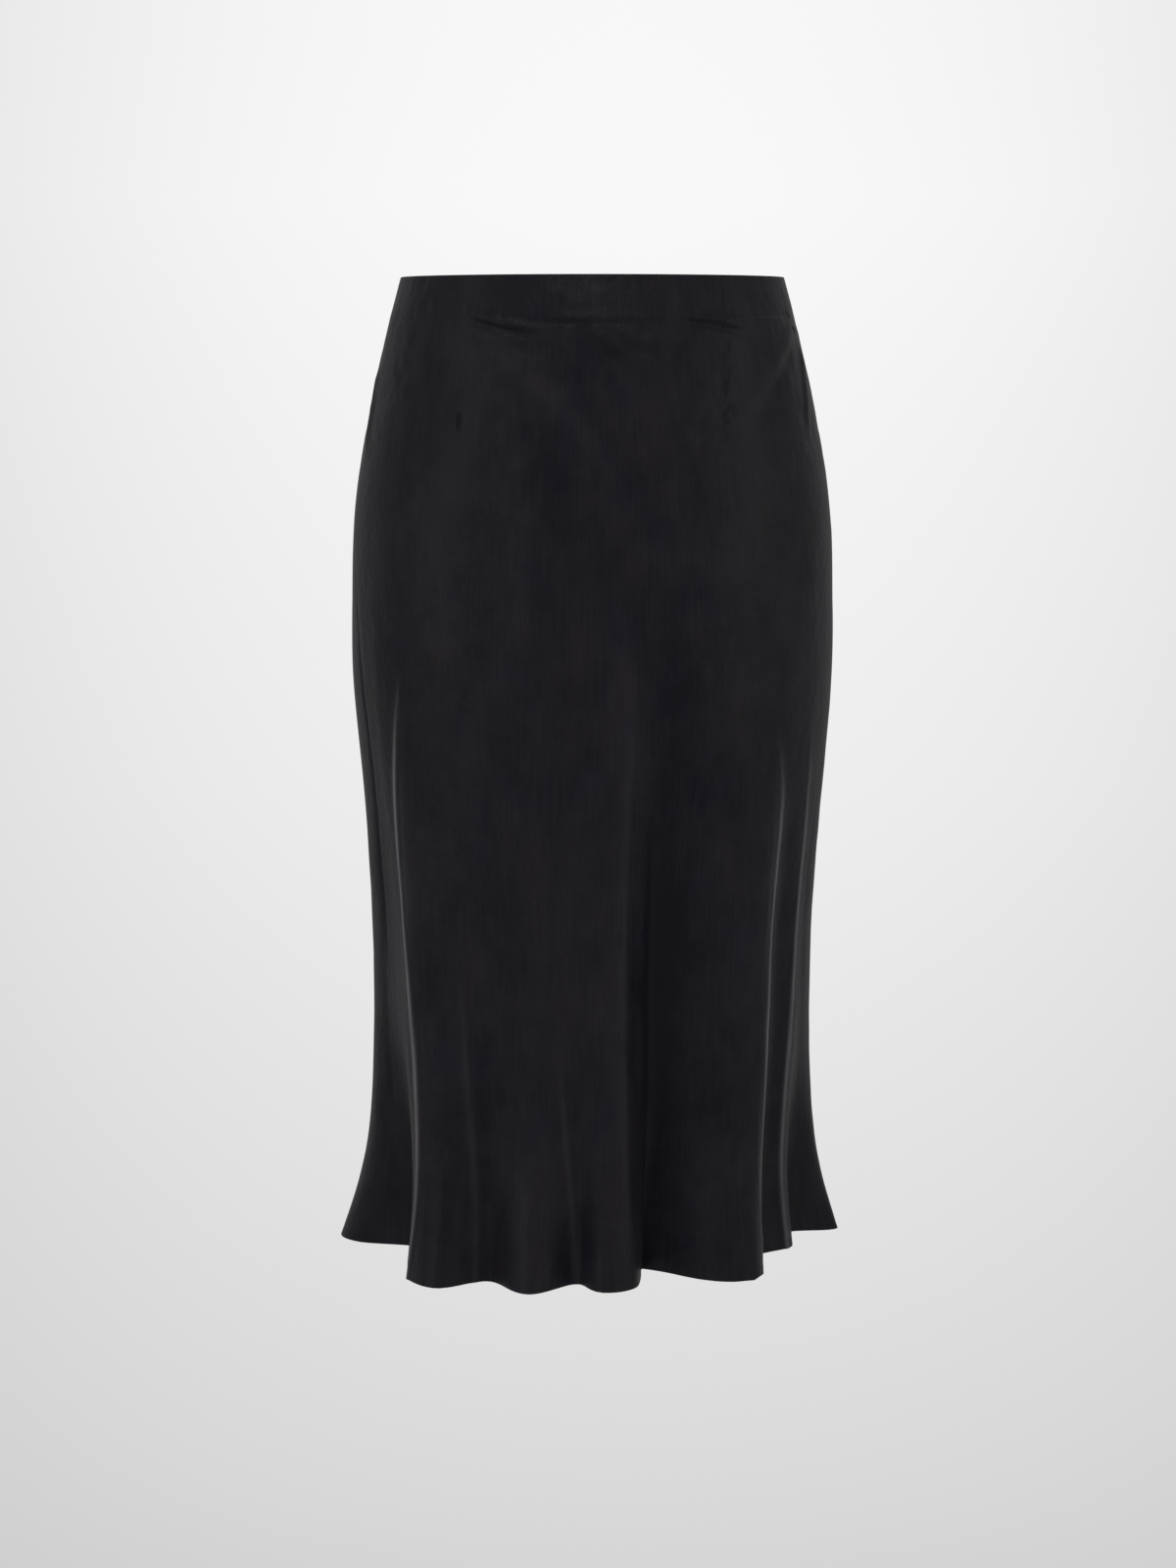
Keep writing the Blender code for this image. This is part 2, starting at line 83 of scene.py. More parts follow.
# %% The maker's sizes
LENGTH = 0.745  # waist edge to hem
KNEE_DROP = 0.535  # where the folds have their places at the knee
HEM_RUSH = 1.8  # the power with which a fold opens between the knee and the hem
SEAM_ANGLE = 101  # both side seams, a little behind the widest line
SEAM_GAP = 0.0003
HEM_TURN = 0.008
HEM_LINE = LENGTH - HEM_TURN + 0.0010  # the drop of the hem's stitches
FACING_DEPTH = 0.034
FACING_LAYER = 0.0017  # how far inside the tube the facings and the zip's tape lie
ZIP_END = 0.190

Section = namedtuple("Section", "drop half_width front back")
SECTIONS = [
    Section(0.000, 0.1437, 0.104, 0.108),
    Section(0.035, 0.1530, 0.112, 0.116),
    Section(0.100, 0.1668, 0.120, 0.130),
    Section(0.170, 0.1780, 0.124, 0.142),
    Section(0.240, 0.1810, 0.126, 0.145),
    Section(0.300, 0.1810, 0.126, 0.142),
    Section(0.360, 0.1765, 0.125, 0.136),
    Section(0.430, 0.1705, 0.123, 0.130),
    Section(0.535, 0.1665, 0.121, 0.127),
    Section(0.620, 0.1685, 0.122, 0.128),
    Section(0.690, 0.1775, 0.125, 0.132),
    Section(0.745, 0.1935, 0.131, 0.139),
]
Fold = namedtuple("Fold", "name hem_x hem_y knee_x knee_y start")
FOLDS = [
    Fold("right side tip", -0.198, 0.027, -0.167, 0.005, 0.30),
    Fold("right side", -0.178, 0.000, -0.162, -0.018, 0.25),
    Fold("right side, inner", -0.145, -0.008, -0.153, -0.033, 0.22),
    Fold("right hollow", -0.117, -0.032, -0.148, -0.048, 0.22),
    Fold("right edge, behind", -0.130, -0.068, -0.144, -0.060, 0.27),
    Fold("right edge", -0.139, -0.100, -0.136, -0.079, 0.27),
    Fold("first flute", -0.110, -0.127, -0.108, -0.096, 0.40),
    Fold("first dip", -0.079, -0.109, -0.082, -0.104, 0.40),
    Fold("second flute", -0.060, -0.134, -0.060, -0.111, 0.40),
    Fold("second flute, flat", -0.032, -0.135, -0.030, -0.118, 0.40),
    Fold("second dip", -0.009, -0.117, -0.008, -0.123, 0.30),
    Fold("centre flute", 0.006, -0.139, 0.010, -0.126, 0.24),
    Fold("centre edge", 0.030, -0.129, 0.024, -0.1235, 0.24),
    Fold("centre edge, behind", 0.035, -0.098, 0.032, -0.106, 0.24),
    Fold("centre hollow", 0.038, -0.070, 0.048, -0.093, 0.24),
    Fold("left panel, inner", 0.066, -0.093, 0.070, -0.096, 0.30),
    Fold("left panel", 0.093, -0.109, 0.096, -0.098, 0.30),
    Fold("left edge", 0.129, -0.093, 0.129, -0.084, 0.27),
    Fold("left hollow", 0.126, -0.038, 0.137, -0.059, 0.30),
    Fold("outer edge", 0.154, -0.014, 0.150, -0.045, 0.30),
    Fold("outer hollow", 0.150, 0.026, 0.156, -0.024, 0.32),
    Fold("left side tip", 0.190, 0.040, 0.166, 0.006, 0.34),
    Fold("left side, behind", 0.176, 0.062, 0.160, 0.040, 0.34),
    Fold("back dip 1", 0.150, 0.072, 0.144, 0.059, 0.34),
    Fold("back flute 1", 0.139, 0.108, 0.126, 0.087, 0.30),
    Fold("back dip 2", 0.106, 0.094, 0.102, 0.094, 0.36),
    Fold("back flute 2", 0.083, 0.136, 0.078, 0.115, 0.33),
    Fold("back flute 2, flat", 0.056, 0.143, 0.052, 0.125, 0.33),
    Fold("back dip 3", 0.033, 0.108, 0.030, 0.119, 0.28),
    Fold("back flute 3", 0.006, 0.146, 0.006, 0.132, 0.38),
    Fold("back dip 4", -0.022, 0.126, -0.022, 0.125, 0.40),
    Fold("back flute 4", -0.054, 0.151, -0.052, 0.126, 0.30),
    Fold("back dip 5", -0.089, 0.104, -0.086, 0.104, 0.30),
    Fold("back flute 5", -0.116, 0.124, -0.110, 0.101, 0.36),
    Fold("back dip 6", -0.134, 0.084, -0.128, 0.079, 0.36),
    Fold("back flute 6", -0.164, 0.086, -0.147, 0.064, 0.32),
    Fold("right side, behind", -0.178, 0.058, -0.161, 0.037, 0.34),
]
print(len(SECTIONS), "sections and", len(FOLDS), "folds")

# %% [markdown]
# ## A smooth curve through a few rows
#
# Both tables give values at a few places, and cloth has neither kinks nor sudden changes of bend. A natural
# cubic spline has neither and still passes through every row. Its unknowns come from one small set of linear
# equations, so numpy solves it at once, and it is then read at as many places as the mesh needs.


# %% Curves and steps
def curve_through(at, values, where):
    """The natural cubic spline through values[i] at at[i], read at where.

    Its second derivatives m solve h0 m0 + 2 (h0 + h1) m1 + h1 m2 = 6 (slope1 - slope0) at each inner point.
    """
    at, values, where = np.asarray(at, float), np.asarray(values, float), np.asarray(where, float)
    step = np.diff(at)
    inner = np.arange(1, len(at) - 1)
    system = np.eye(len(at))
    system[inner, inner - 1], system[inner, inner + 1] = step[:-1], step[1:]
    system[inner, inner] = 2 * (step[:-1] + step[1:])
    turns = np.zeros_like(values)
    turns[1:-1] = 6 * np.diff(np.diff(values, axis=0) / step[:, None], axis=0)
    bend = np.linalg.solve(system, turns)
    i = np.clip(np.searchsorted(at, where) - 1, 0, len(at) - 2)
    h = step[i][..., None]
    b = (where - at[i])[..., None] / h
    a = 1 - b
    return a * values[i] + b * values[i + 1] + ((a**3 - a) * bend[i] + (b**3 - b) * bend[i + 1]) * h**2 / 6


def eased(share):
    """0 below 0, 1 above 1, and 3 t^2 - 2 t^3 between them."""
    share = np.clip(share, 0, 1)
    return share * share * (3 - 2 * share)


def past(drop, start, run):
    """0 above a drop, 1 from a run below it, and eased between them."""
    return eased((drop - start) / run)


def bell(distance, half_width):
    """exp(-(distance / half width)^2): 1 on the line, 0.37 at the half width, and next to nothing at twice it."""
    return np.exp(-((distance / half_width) ** 2))


print("eased:", eased(np.linspace(0, 1, 5)).round(2), "bell:", bell(np.linspace(0, 2, 5), 1).round(2))

# %% [markdown]
# ## The tube
#
# The oval's front and back halves have their own depths, because a figure isn't the same before and behind.
# Each fold moves the cloth along its own line of the tube, and the spline through all the fold lines, taken
# once more round on either side, spreads that over the cloth between them with no seam where the turn closes.


# %% The tube's points
def plain_ring(angle, drop):
    """x = half width x sin(angle), y = -depth x cos(angle), with the front's or the back's own depth."""
    sizes = curve_through([s.drop for s in SECTIONS], [s[1:] for s in SECTIONS], drop)
    half_width, front, back = np.moveaxis(sizes, -1, 0)
    return np.stack([half_width * np.sin(angle), -np.where(np.cos(angle) > 0, front, back) * np.cos(angle)], -1)


def fold_angles():
    """The angle of each fold's line: that of its place at the knee, on the oval there."""
    knee = SECTIONS[[s.drop for s in SECTIONS].index(KNEE_DROP)]
    x, y = np.array([(fold.knee_x, fold.knee_y) for fold in FOLDS]).T
    return np.unwrap(np.arctan2(x / knee.half_width, -y / np.where(y < 0, knee.front, knee.back)))


def round_the_body(values, angle):
    """A smooth value at any angle from one value a fold, the same again each turn."""
    lines = fold_angles()
    turns = np.concatenate([lines - 2 * math.pi, lines, lines + 2 * math.pi])
    return curve_through(turns, np.concatenate([values] * 3), angle)


def tube(angle, drop):
    """The oval, plus each fold's shift at the knee as it grows from its start, turning into its shift at the hem."""
    angle, drop = np.broadcast_arrays(angle, drop)
    at_hem = np.array([(fold.hem_x, fold.hem_y) for fold in FOLDS]) - plain_ring(fold_angles(), LENGTH)
    at_knee = np.array([(fold.knee_x, fold.knee_y) for fold in FOLDS]) - plain_ring(fold_angles(), KNEE_DROP)
    starts = np.array([[fold.start] for fold in FOLDS])
    shifts = round_the_body(np.concatenate([at_knee, at_hem, starts], axis=1), angle)
    start = shifts[..., 4]
    opened = np.clip((drop - KNEE_DROP) / (LENGTH - KNEE_DROP), 0, 1) ** HEM_RUSH
    risen = eased((drop - start) / (KNEE_DROP - start)) * (1 - opened)
    ring = plain_ring(angle, drop) + shifts[..., :2] * risen[..., None] + shifts[..., 2:4] * opened[..., None]
    return np.concatenate([ring, -drop[..., None]], axis=-1)


def tube_span(angle, drop):
    """The metres that a radian spans on the tube."""
    return np.linalg.norm(tube(angle + 1e-4, drop) - tube(angle - 1e-4, drop), axis=-1) / 2e-4


hem = tube(np.radians(np.arange(0, 361)), LENGTH)
print("hem all round: %.2f m" % np.linalg.norm(np.diff(hem, axis=0), axis=1).sum())

# %% [markdown]
# ## Darts, seams and creases
#
# What the tube lacks is what stitching does to cloth. A dart draws it in along a line that ends in a dimple, a
# bias seam sinks and puckers, and the facing's edge prints through. Real satin also has soft drag lines from
# where it is pulled. A dart is a straight line from the waist edge to its point, with a soft trough on both sides
# of it, a sharp one on its stitches and a low ridge beside them. Washing leaves it uneven, so its line wanders.

# %% Darts
Dart = namedtuple("Dart", "name waist_angle point_angle depth sharpness")
DARTS = [
    Dart("front, wearer's right", -38.0, -35.5, 0.112, 0.10),
    Dart("front, wearer's left", 40.5, 34.5, 0.104, 0.50),
    Dart("back, wearer's left", 140.0, 143.0, 0.130, 0.6),
    Dart("back, wearer's right", 220.0, 217.0, 0.130, 0.5),
]
DART_WIDE, DART_WIDE_PINCH = 0.0050, 0.00020  # the cloth drawn in on both sides of a dart
DART_FINE, DART_FINE_PINCH = 0.0008, 0.00060  # the sharp line of its stitches
DART_RIDGE, DART_RIDGE_ASIDE, DART_RIDGE_SHARE = 0.0010, 0.0021, 0.60  # the low ridge beside it
DART_STRAY, DART_UNEVEN = 0.0009, 0.6  # how far the stitches wander, and how much their pinch varies
METRES_PER_RADIAN = 0.165  # round the body, near enough for the widths of creases


def dart_line(dart, drop):
    """The dart's angle at a drop. Below its point the line runs straight on down the cloth."""
    share = np.clip(drop / dart.depth, 0, 1)
    return np.radians(dart.waist_angle + (dart.point_angle - dart.waist_angle) * share)


def dart_height(angle, drop):
    """Bell curves across each dart: a wide trough, a fine one and a low ridge, varied by products of two sines."""
    height = np.zeros(np.broadcast(angle, drop).shape)
    for dart in DARTS:
        across = (angle - dart_line(dart, drop)) * METRES_PER_RADIAN
        across = across + DART_STRAY * np.sin(drop * 230 + dart.waist_angle) * np.sin(drop * 71 + 1)
        left = 1 - past(drop / dart.depth, 0.8, 0.25)
        uneven = left * (1 + DART_UNEVEN * np.sin(drop * 410 + dart.waist_angle) * np.sin(drop * 130))
        stitched = bell(across, DART_FINE) - DART_RIDGE_SHARE * bell(across + DART_RIDGE_ASIDE, DART_RIDGE)
        height -= left * DART_WIDE_PINCH * bell(across, DART_WIDE)
        height -= uneven * dart.sharpness * DART_FINE_PINCH * stitched
    return height


print(len(DARTS), "darts, the longest %.0f mm" % (1000 * max(dart.depth for dart in DARTS)))


# %% [markdown]
# ### The crease tables
#
# Each row is a line from one place on the cloth to another, bowed a little, with a width and a height, negative
# for a trough. They are given one by one, and uneven, as in wear. The front's rows follow what shows there: the short
# deep drag lines under the facing, the long soft band over the belly, the dimples at the darts' points and the
# puckers at the hip. The back and the sides get their own, of the same kinds, since the same cloth is pulled
# there in the same ways. A table is longer than a noise, but only a table can put a crease where it belongs.

# %% Creases of the front
Crease = namedtuple("Crease", "angle drop to_angle to_drop bow half_width height")
FRONT_CREASES = [
    # the facing's lower edge, which prints through from the centre to the wearer's left
    Crease(24, 0.0318, 78, 0.0318, 0.000, 0.0012, 0.00052),
    Crease(22, 0.0350, 80, 0.0350, 0.000, 0.0046, 0.00040),
    Crease(-20, 0.0300, 34, 0.0308, 0.000, 0.0034, 0.00020),
    Crease(-20, 0.0348, 36, 0.0354, 0.000, 0.0020, -0.00026),
    Crease(-16, 0.0390, 34, 0.0395, 0.000, 0.0040, -0.00022),
    # drag lines that run off the facing's edge
    Crease(-39, 0.0262, -12, 0.0407, 0.001, 0.0036, 0.00070),
    Crease(-38, 0.0312, -13, 0.0464, 0.001, 0.0024, -0.00120),
    Crease(-40, 0.0385, -14, 0.0540, 0.001, 0.0050, -0.00045),
    Crease(23, 0.0295, 48, 0.0390, -0.002, 0.0034, 0.00060),
    Crease(23, 0.0342, 48, 0.0440, -0.002, 0.0026, -0.00100),
    Crease(2, 0.0290, 29, 0.0325, 0.020, 0.0045, 0.00050),
    Crease(3, 0.0340, 28, 0.0375, 0.020, 0.0050, -0.00055),
    # above the facing's edge, left of the centre
    Crease(-17, 0.0040, -11, 0.0300, 0.000, 0.0034, -0.00038),
    Crease(-13, 0.0030, -2, 0.0280, 0.000, 0.0060, 0.00012),
    Crease(14, 0.0040, 20, 0.0260, 0.001, 0.0045, -0.00024),
    Crease(-30, 0.0060, -26, 0.0240, 0.001, 0.0040, 0.00022),
    Crease(-53, 0.0110, -47, 0.0460, 0.001, 0.0020, 0.00040),
    Crease(-56, 0.0150, -51, 0.0420, 0.001, 0.0025, -0.00035),
    Crease(57, 0.0075, 71, 0.0078, 0.000, 0.0010, -0.00040),
    Crease(34, 0.0080, 38, 0.0260, 0.000, 0.0020, 0.00030),
    # the soft bands over the belly
    Crease(-31, 0.0430, 5, 0.1320, -0.004, 0.0115, 0.00085),
    Crease(-36, 0.0620, -6, 0.1450, -0.004, 0.0110, -0.00075),
    Crease(6, 0.0620, 9, 0.1250, 0.002, 0.0060, -0.00050),
    Crease(-10, 0.1650, -16, 0.3050, 0.003, 0.0100, 0.00130),
    Crease(-2, 0.1850, -7, 0.2900, 0.000, 0.0080, -0.00080),
    Crease(-24, 0.2150, -25, 0.3300, 0.000, 0.0100, -0.00070),
    # below the belly: the soft far side of the centre flute, and the fullness of the sides
    Crease(13, 0.2500, 15, 0.9000, 0.000, 0.0110, 0.00250),
    Crease(21, 0.5800, 21, 1.1000, 0.000, 0.0140, 0.00350),
    Crease(84, 0.3000, 84, 0.8600, 0.000, 0.0300, 0.00340),
    Crease(-84, 0.3400, -84, 0.7400, 0.000, 0.0300, 0.00190),
    Crease(88, 0.0100, 88, 0.4300, 0.000, 0.0350, 0.00090),
    Crease(-88, 0.0100, -88, 0.4300, 0.000, 0.0350, 0.00080),
    # at the darts' points
    Crease(-35.3, 0.0980, -35.4, 0.1170, 0.000, 0.0013, -0.00090),
    Crease(38.5, 0.0930, 34.0, 0.1080, 0.000, 0.0024, -0.00200),
    Crease(39.5, 0.0420, 38.5, 0.0570, 0.001, 0.0012, -0.00048),
    Crease(40.8, 0.0470, 38.0, 0.0640, 0.000, 0.0014, 0.00036),
    Crease(37.3, 0.0640, 37.9, 0.0800, -0.001, 0.0013, -0.00050),
    Crease(38.8, 0.0690, 36.0, 0.0920, 0.000, 0.0015, 0.00055),
    Crease(33, 0.0990, 28, 0.1060, 0.001, 0.0020, 0.00050),
    Crease(30, 0.1080, 24, 0.1180, 0.002, 0.0022, -0.00060),
    Crease(27, 0.1200, 21, 0.1270, 0.002, 0.0025, 0.00050),
    Crease(38, 0.1050, 40, 0.1200, 0.002, 0.0025, 0.00050),
    Crease(18, 0.1270, 12, 0.1400, -0.002, 0.0030, 0.00040),
    # drag lines from the left hip down to the belly
    Crease(78, 0.0310, 44, 0.1040, 0.006, 0.0062, 0.00095),
    Crease(70, 0.0500, 42, 0.1120, 0.006, 0.0070, -0.00060),
    Crease(82, 0.0420, 70, 0.1250, 0.003, 0.0050, 0.00110),
    Crease(72, 0.0265, 76, 0.0300, 0.000, 0.0014, 0.00060),
    Crease(74, 0.0360, 79, 0.0420, 0.000, 0.0016, 0.00070),
    # the wearer's right hip
    Crease(-64, 0.0420, -52, 0.0640, 0.000, 0.0050, 0.00026),
    Crease(-66, 0.0560, -58, 0.0840, 0.000, 0.0055, -0.00030),
    Crease(-28, 0.0700, -24, 0.0860, 0.000, 0.0035, 0.00045),
    Crease(-84, 0.0500, -76, 0.1500, 0.002, 0.0070, 0.00080),
    Crease(-50, 0.1200, -45, 0.2000, 0.002, 0.0100, 0.00035),
]
print(len(FRONT_CREASES), "creases on the front")

# %% Creases of the back and the sides
BACK_CREASES = [
    Crease(122, 0.0322, 174, 0.0320, 0.000, 0.0014, 0.00034),
    Crease(122, 0.0352, 174, 0.0350, 0.000, 0.0022, -0.00030),
    Crease(182, 0.0330, 222, 0.0325, 0.000, 0.0014, 0.00032),
    Crease(182, 0.0360, 222, 0.0355, 0.000, 0.0024, -0.00028),
    Crease(147, 0.0300, 166, 0.0430, 0.002, 0.0018, -0.00100),
    Crease(148, 0.0355, 166, 0.0480, 0.002, 0.0042, 0.00045),
    Crease(213, 0.0310, 194, 0.0450, -0.002, 0.0018, -0.00090),
    Crease(212, 0.0365, 195, 0.0500, -0.002, 0.0042, 0.00045),
    Crease(168, 0.0100, 172, 0.0290, 0.001, 0.0028, -0.00050),
    Crease(190, 0.0060, 184, 0.0270, 0.001, 0.0035, 0.00045),
    Crease(228, 0.0120, 233, 0.0440, 0.001, 0.0018, 0.00055),
    Crease(118, 0.0100, 122, 0.0400, -0.001, 0.0022, -0.00045),
    Crease(152, 0.0600, 176, 0.1350, 0.004, 0.0095, 0.00130),
    Crease(208, 0.0700, 188, 0.1500, -0.004, 0.0100, 0.00110),
    Crease(180, 0.1000, 180, 0.1900, 0.002, 0.0080, -0.00080),
    Crease(142.6, 0.1180, 143.0, 0.1360, 0.000, 0.0016, -0.00090),
    Crease(217.4, 0.1180, 217.0, 0.1360, 0.000, 0.0016, -0.00090),
    Crease(146, 0.1300, 152, 0.1430, 0.002, 0.0025, 0.00050),
    Crease(213, 0.1280, 207, 0.1410, 0.002, 0.0025, 0.00050),
    Crease(168, 0.2100, 165, 0.3300, 0.003, 0.0100, 0.00110),
    Crease(196, 0.1900, 199, 0.3100, 0.003, 0.0100, 0.00100),
    Crease(108, 0.0420, 128, 0.1050, 0.004, 0.0045, 0.00110),
    Crease(252, 0.0450, 234, 0.1150, -0.004, 0.0048, 0.00120),
    Crease(250, 0.0620, 236, 0.1250, -0.004, 0.0055, -0.00080),
    Crease(112, 0.0650, 130, 0.1250, 0.004, 0.0055, -0.00080),
    Crease(96, 0.2000, 93, 0.3200, 0.003, 0.0060, 0.00070),
    Crease(-96, 0.1900, -92, 0.3100, 0.003, 0.0060, 0.00070),
    Crease(-98, 0.1200, -88, 0.1900, 0.002, 0.0060, -0.00050),
]
FIRM_ABOVE = 0.07  # creases that start above this drop are crisper, because the facing stiffens the cloth
FIRM, SOFT = 1.8, 1.2  # what the heights in the tables are multiplied by, above it and below
CREASES = [
    crease._replace(height=crease.height * (FIRM if crease.drop < FIRM_ABOVE else SOFT))
    for crease in FRONT_CREASES + BACK_CREASES
]
print(len(BACK_CREASES), "creases on the back and the sides")

# %% [markdown]
# ### Fold edges
#
# Where a flute turns back on itself, satin doesn't bend in a round arc: it comes to a soft edge a few
# millimetres wide, and that edge is the bright line of each fold. So each has a ridge that follows its own
# angle down the cloth, and a painted highlight, which says how much paler the cloth's colour is painted along it.

# %% Fold edges
Edge = namedtuple("Edge", "drops angles half_width height frost")
FIRST_DROPS = (0.28, 0.36, 0.42, 0.49, 0.55, 0.63, 0.745)
LEFT_DROPS = (0.33, 0.36, 0.40, 0.45, 0.53, 0.61, 0.745)
# the last column of each edge is the highlight painted into the colour along it
EDGES = [
    Edge(FIRST_DROPS, (-51, -56, -57.5, -54.5, -51, -49.5, -50.5), 0.0028, 0.0014, 1.0),
    Edge((0.21, 0.26, 0.44, 0.60, 0.745), (5.0, 7.6, 7.4, 7.3, 8.8), 0.0065, 0.0005, 0.03),
    Edge(LEFT_DROPS, (50, 53, 55.0, 54.0, 50.5, 50.0, 51.0), 0.0038, 0.0013, 0.80),
    Edge((0.32, 0.40, 0.46, 0.50, 0.59, 0.745), (66.0, 70.0, 70.0, 69.5, 67.0, 66.5), 0.0031, 0.0010, 0.65),
    Edge((0.20, 0.33, 0.44, 0.52), (-79.5, -73.5, -75.5, -74.0), 0.0022, -0.0011, 0.0),
    Edge((0.50, 0.62, 0.745), (-36.0, -34.0, -32.5), 0.0045, 0.0008, 0.06),
    Edge((0.56, 0.65, 0.745), (-9.0, -6.5, -4.0), 0.0040, 0.0008, 0.06),
    Edge((0.34, 0.55, 0.745), (127.0, 128.0, 129.0), 0.0030, 0.0011, 0.6),
    Edge((0.36, 0.55, 0.745), (146.0, 147.0, 147.5), 0.0034, 0.0009, 0.2),
    Edge((0.30, 0.55, 0.745), (177.5, 178.0, 178.0), 0.0034, 0.0010, 0.15),
    Edge((0.33, 0.55, 0.745), (203.0, 202.0, 201.0), 0.0034, 0.0010, 0.15),
    Edge((0.36, 0.55, 0.745), (227.0, 226.0, 225.5), 0.0032, 0.0010, 0.35),
    Edge((0.38, 0.55, 0.745), (250.0, 249.0, 249.0), 0.0030, 0.0010, 0.7),
]
EDGE_STEPS = (-10, -6.5, -4, -2.4, -1.2, 0, 1.2, 2.4, 4, 6.5, 10)  # mm beside an edge
print(len(EDGES), "fold edges")

# %% [markdown]
# ### Painted bands of light and shade
#
# Long bands of light and shade are painted into the cloth's colour, with no height of their own. Each is a line
# of the same kind as a fold's edge, with how much paler the colour is painted there, as painted light, or darker
# below 0, as painted shade. Noise alone would leave the fold sides and the hollows as even as the rest.

# %% Painted bands of light and shade
Band = namedtuple("Band", "drops angles half_width frost")
# each row's last value is light painted into the colour, or shade painted where it is below 0
BANDS = [
    # the waist and the belly
    Band((-0.060, 0.000, 0.110), (0.0, 0.0, 0.0), 0.1100, -0.40),
    Band((0.034, 0.085, 0.145), (-33.0, -12.0, 6.0), 0.0105, 1.15),
    Band((0.022, 0.040, 0.068), (-13.0, -3.0, 10.0), 0.0130, -1.25),
    Band((0.022, 0.066, 0.115), (80.0, 58.5, 40.0), 0.0055, 1.60),
    Band((0.080, 0.115, 0.175), (-18.0, -13.0, -10.0), 0.0160, -0.80),
    Band((0.040, 0.085, 0.150), (9.0, 12.5, 15.0), 0.0160, 0.85),
    Band((-0.030, 0.015, 0.046), (-24.0, -23.0, -22.0), 0.0150, -1.00),
    Band((0.030, 0.090, 0.170), (-47.0, -44.0, -40.0), 0.0160, -0.65),
    Band((0.060, 0.120, 0.300), (-34.0, -30.0, -31.0), 0.0160, -0.40),
    # the flutes of the front
    Band((0.19, 0.30, 0.50, 0.745), (5.5, 6.6, 6.4, 6.8), 0.0085, 0.50),
    Band((0.15, 0.30, 0.50, 0.66), (17.5, 19.5, 20.5, 20.0), 0.0170, -0.55),
    Band((0.16, 0.25, 0.36, 0.50), (52.0, 58.0, 57.0, 54.0), 0.0130, 0.55),
    Band((0.14, 0.20, 0.30, 0.40), (36.0, 36.5, 37.0, 37.0), 0.0120, 0.30),
    Band((0.42, 0.60, 0.745), (-43.5, -42.0, -41.5), 0.0100, -0.65),
    Band((0.50, 0.65, 0.745), (-30.5, -29.5, -29.0), 0.0070, -0.45),
    Band((0.36, 0.55, 0.745), (-15.0, -14.0, -13.0), 0.0110, 0.35),
    Band((0.28, 0.45, 0.60), (-67.0, -64.0, -59.0), 0.0130, -0.95),
    Band((0.34, 0.50, 0.745), (12.0, 12.5, 13.5), 0.0070, 0.55),
    Band((0.60, 0.66, 0.745), (17.0, 17.5, 18.0), 0.0120, 0.60),
    # painted shade in the hollows of the back
    Band((0.34, 0.50, 0.64), (79.0, 79.0, 77.0), 0.0110, -0.60),
    Band((0.30, 0.50, 0.745), (134.0, 135.0, 136.0), 0.0120, -0.45),
    Band((0.34, 0.55, 0.745), (162.0, 161.0, 160.0), 0.0130, -0.40),
    Band((0.30, 0.50, 0.745), (188.0, 189.0, 190.0), 0.0130, -0.40),
    Band((0.34, 0.55, 0.745), (214.0, 214.0, 213.0), 0.0120, -0.45),
]
print(len(BANDS), "washed bands")

# %% [markdown]
# ## The height of the cloth over the tube
#
# A crease is a bell curve across its line, eased in and out at its two ends. The small unevenness of washed
# satin has no lines of its own, so it is smooth noise: random numbers on a coarse grid over the cloth, joined by
# the same easing. Long cells down the cloth and narrow ones across give the faint upright ripples of bias cloth.

# %% Crease and ripple heights
CREASE_RISE, CREASE_FALL = 0.3, 0.4  # the shares of a crease's length over which it rises and falls
EDGE_RISE, EDGE_FALL = 0.12, 0.06  # metres over which an edge or a band rises and falls
EDGE_RISE_SHARE, EDGE_FALL_SHARE = 0.4, 0.3  # and the most of its length that this may take
HIGHLIGHT_WIDTH = 0.6  # the painted highlight's width as a share of the edge's own
HIGHLIGHT_LOSS, HIGHLIGHT_HOLDS, HIGHLIGHT_RUN = 0.35, 0.18, 0.32  # the painted highlight fades by this share, after this drop, over this run
PROUD, SUNK = 0.018, 0.022  # how far before or behind the plain oval a fold counts in full, for the painted light and shade
FLARE, FLARE_RUN, FLARE_LOSS = 0.58, 0.14, 0.7  # where the hem flares, and how much less a fold counts there


def crease_height(crease, angle, drop):
    """A bell curve of the distance to a bowed line, times a smooth rise and fall from end to end."""
    turned = np.mod(angle - math.radians(crease.angle) + math.pi, 2 * math.pi) - math.pi
    x, y = turned * METRES_PER_RADIAN, drop - crease.drop
    run_x = math.radians(crease.to_angle - crease.angle) * METRES_PER_RADIAN
    run_y = crease.to_drop - crease.drop
    run = math.hypot(run_x, run_y)
    along = (x * run_x + y * run_y) / run**2
    across = (x * -run_y + y * run_x) / run - crease.bow * 4 * along * (1 - along)
    ends = eased(along / CREASE_RISE) * eased((1 - along) / CREASE_FALL)
    return crease.height * ends * bell(across, crease.half_width)


def edge_line(edge, drop):
    """The angle of a fold edge at a drop: a spline through its table, held still past both ends."""
    drop = np.clip(drop, edge.drops[0], edge.drops[-1])
    return curve_through(edge.drops, np.radians(edge.angles)[:, None], drop)[..., 0]


def on_edge(edge, angle, drop, span, half_width):
    """A bell curve across the edge's line, with smooth ends. span is the metres in a radian."""
    across = (np.mod(angle - edge_line(edge, drop) + math.pi, 2 * math.pi) - math.pi) * span
    first, last = edge.drops[0], edge.drops[-1]
    rise = min(EDGE_RISE, EDGE_RISE_SHARE * (last - first))
    fall = min(EDGE_FALL, EDGE_FALL_SHARE * (last - first))
    risen = past(drop, first, rise) * (1 if last >= LENGTH else eased((last - drop) / fall))
    return risen * bell(across, half_width)


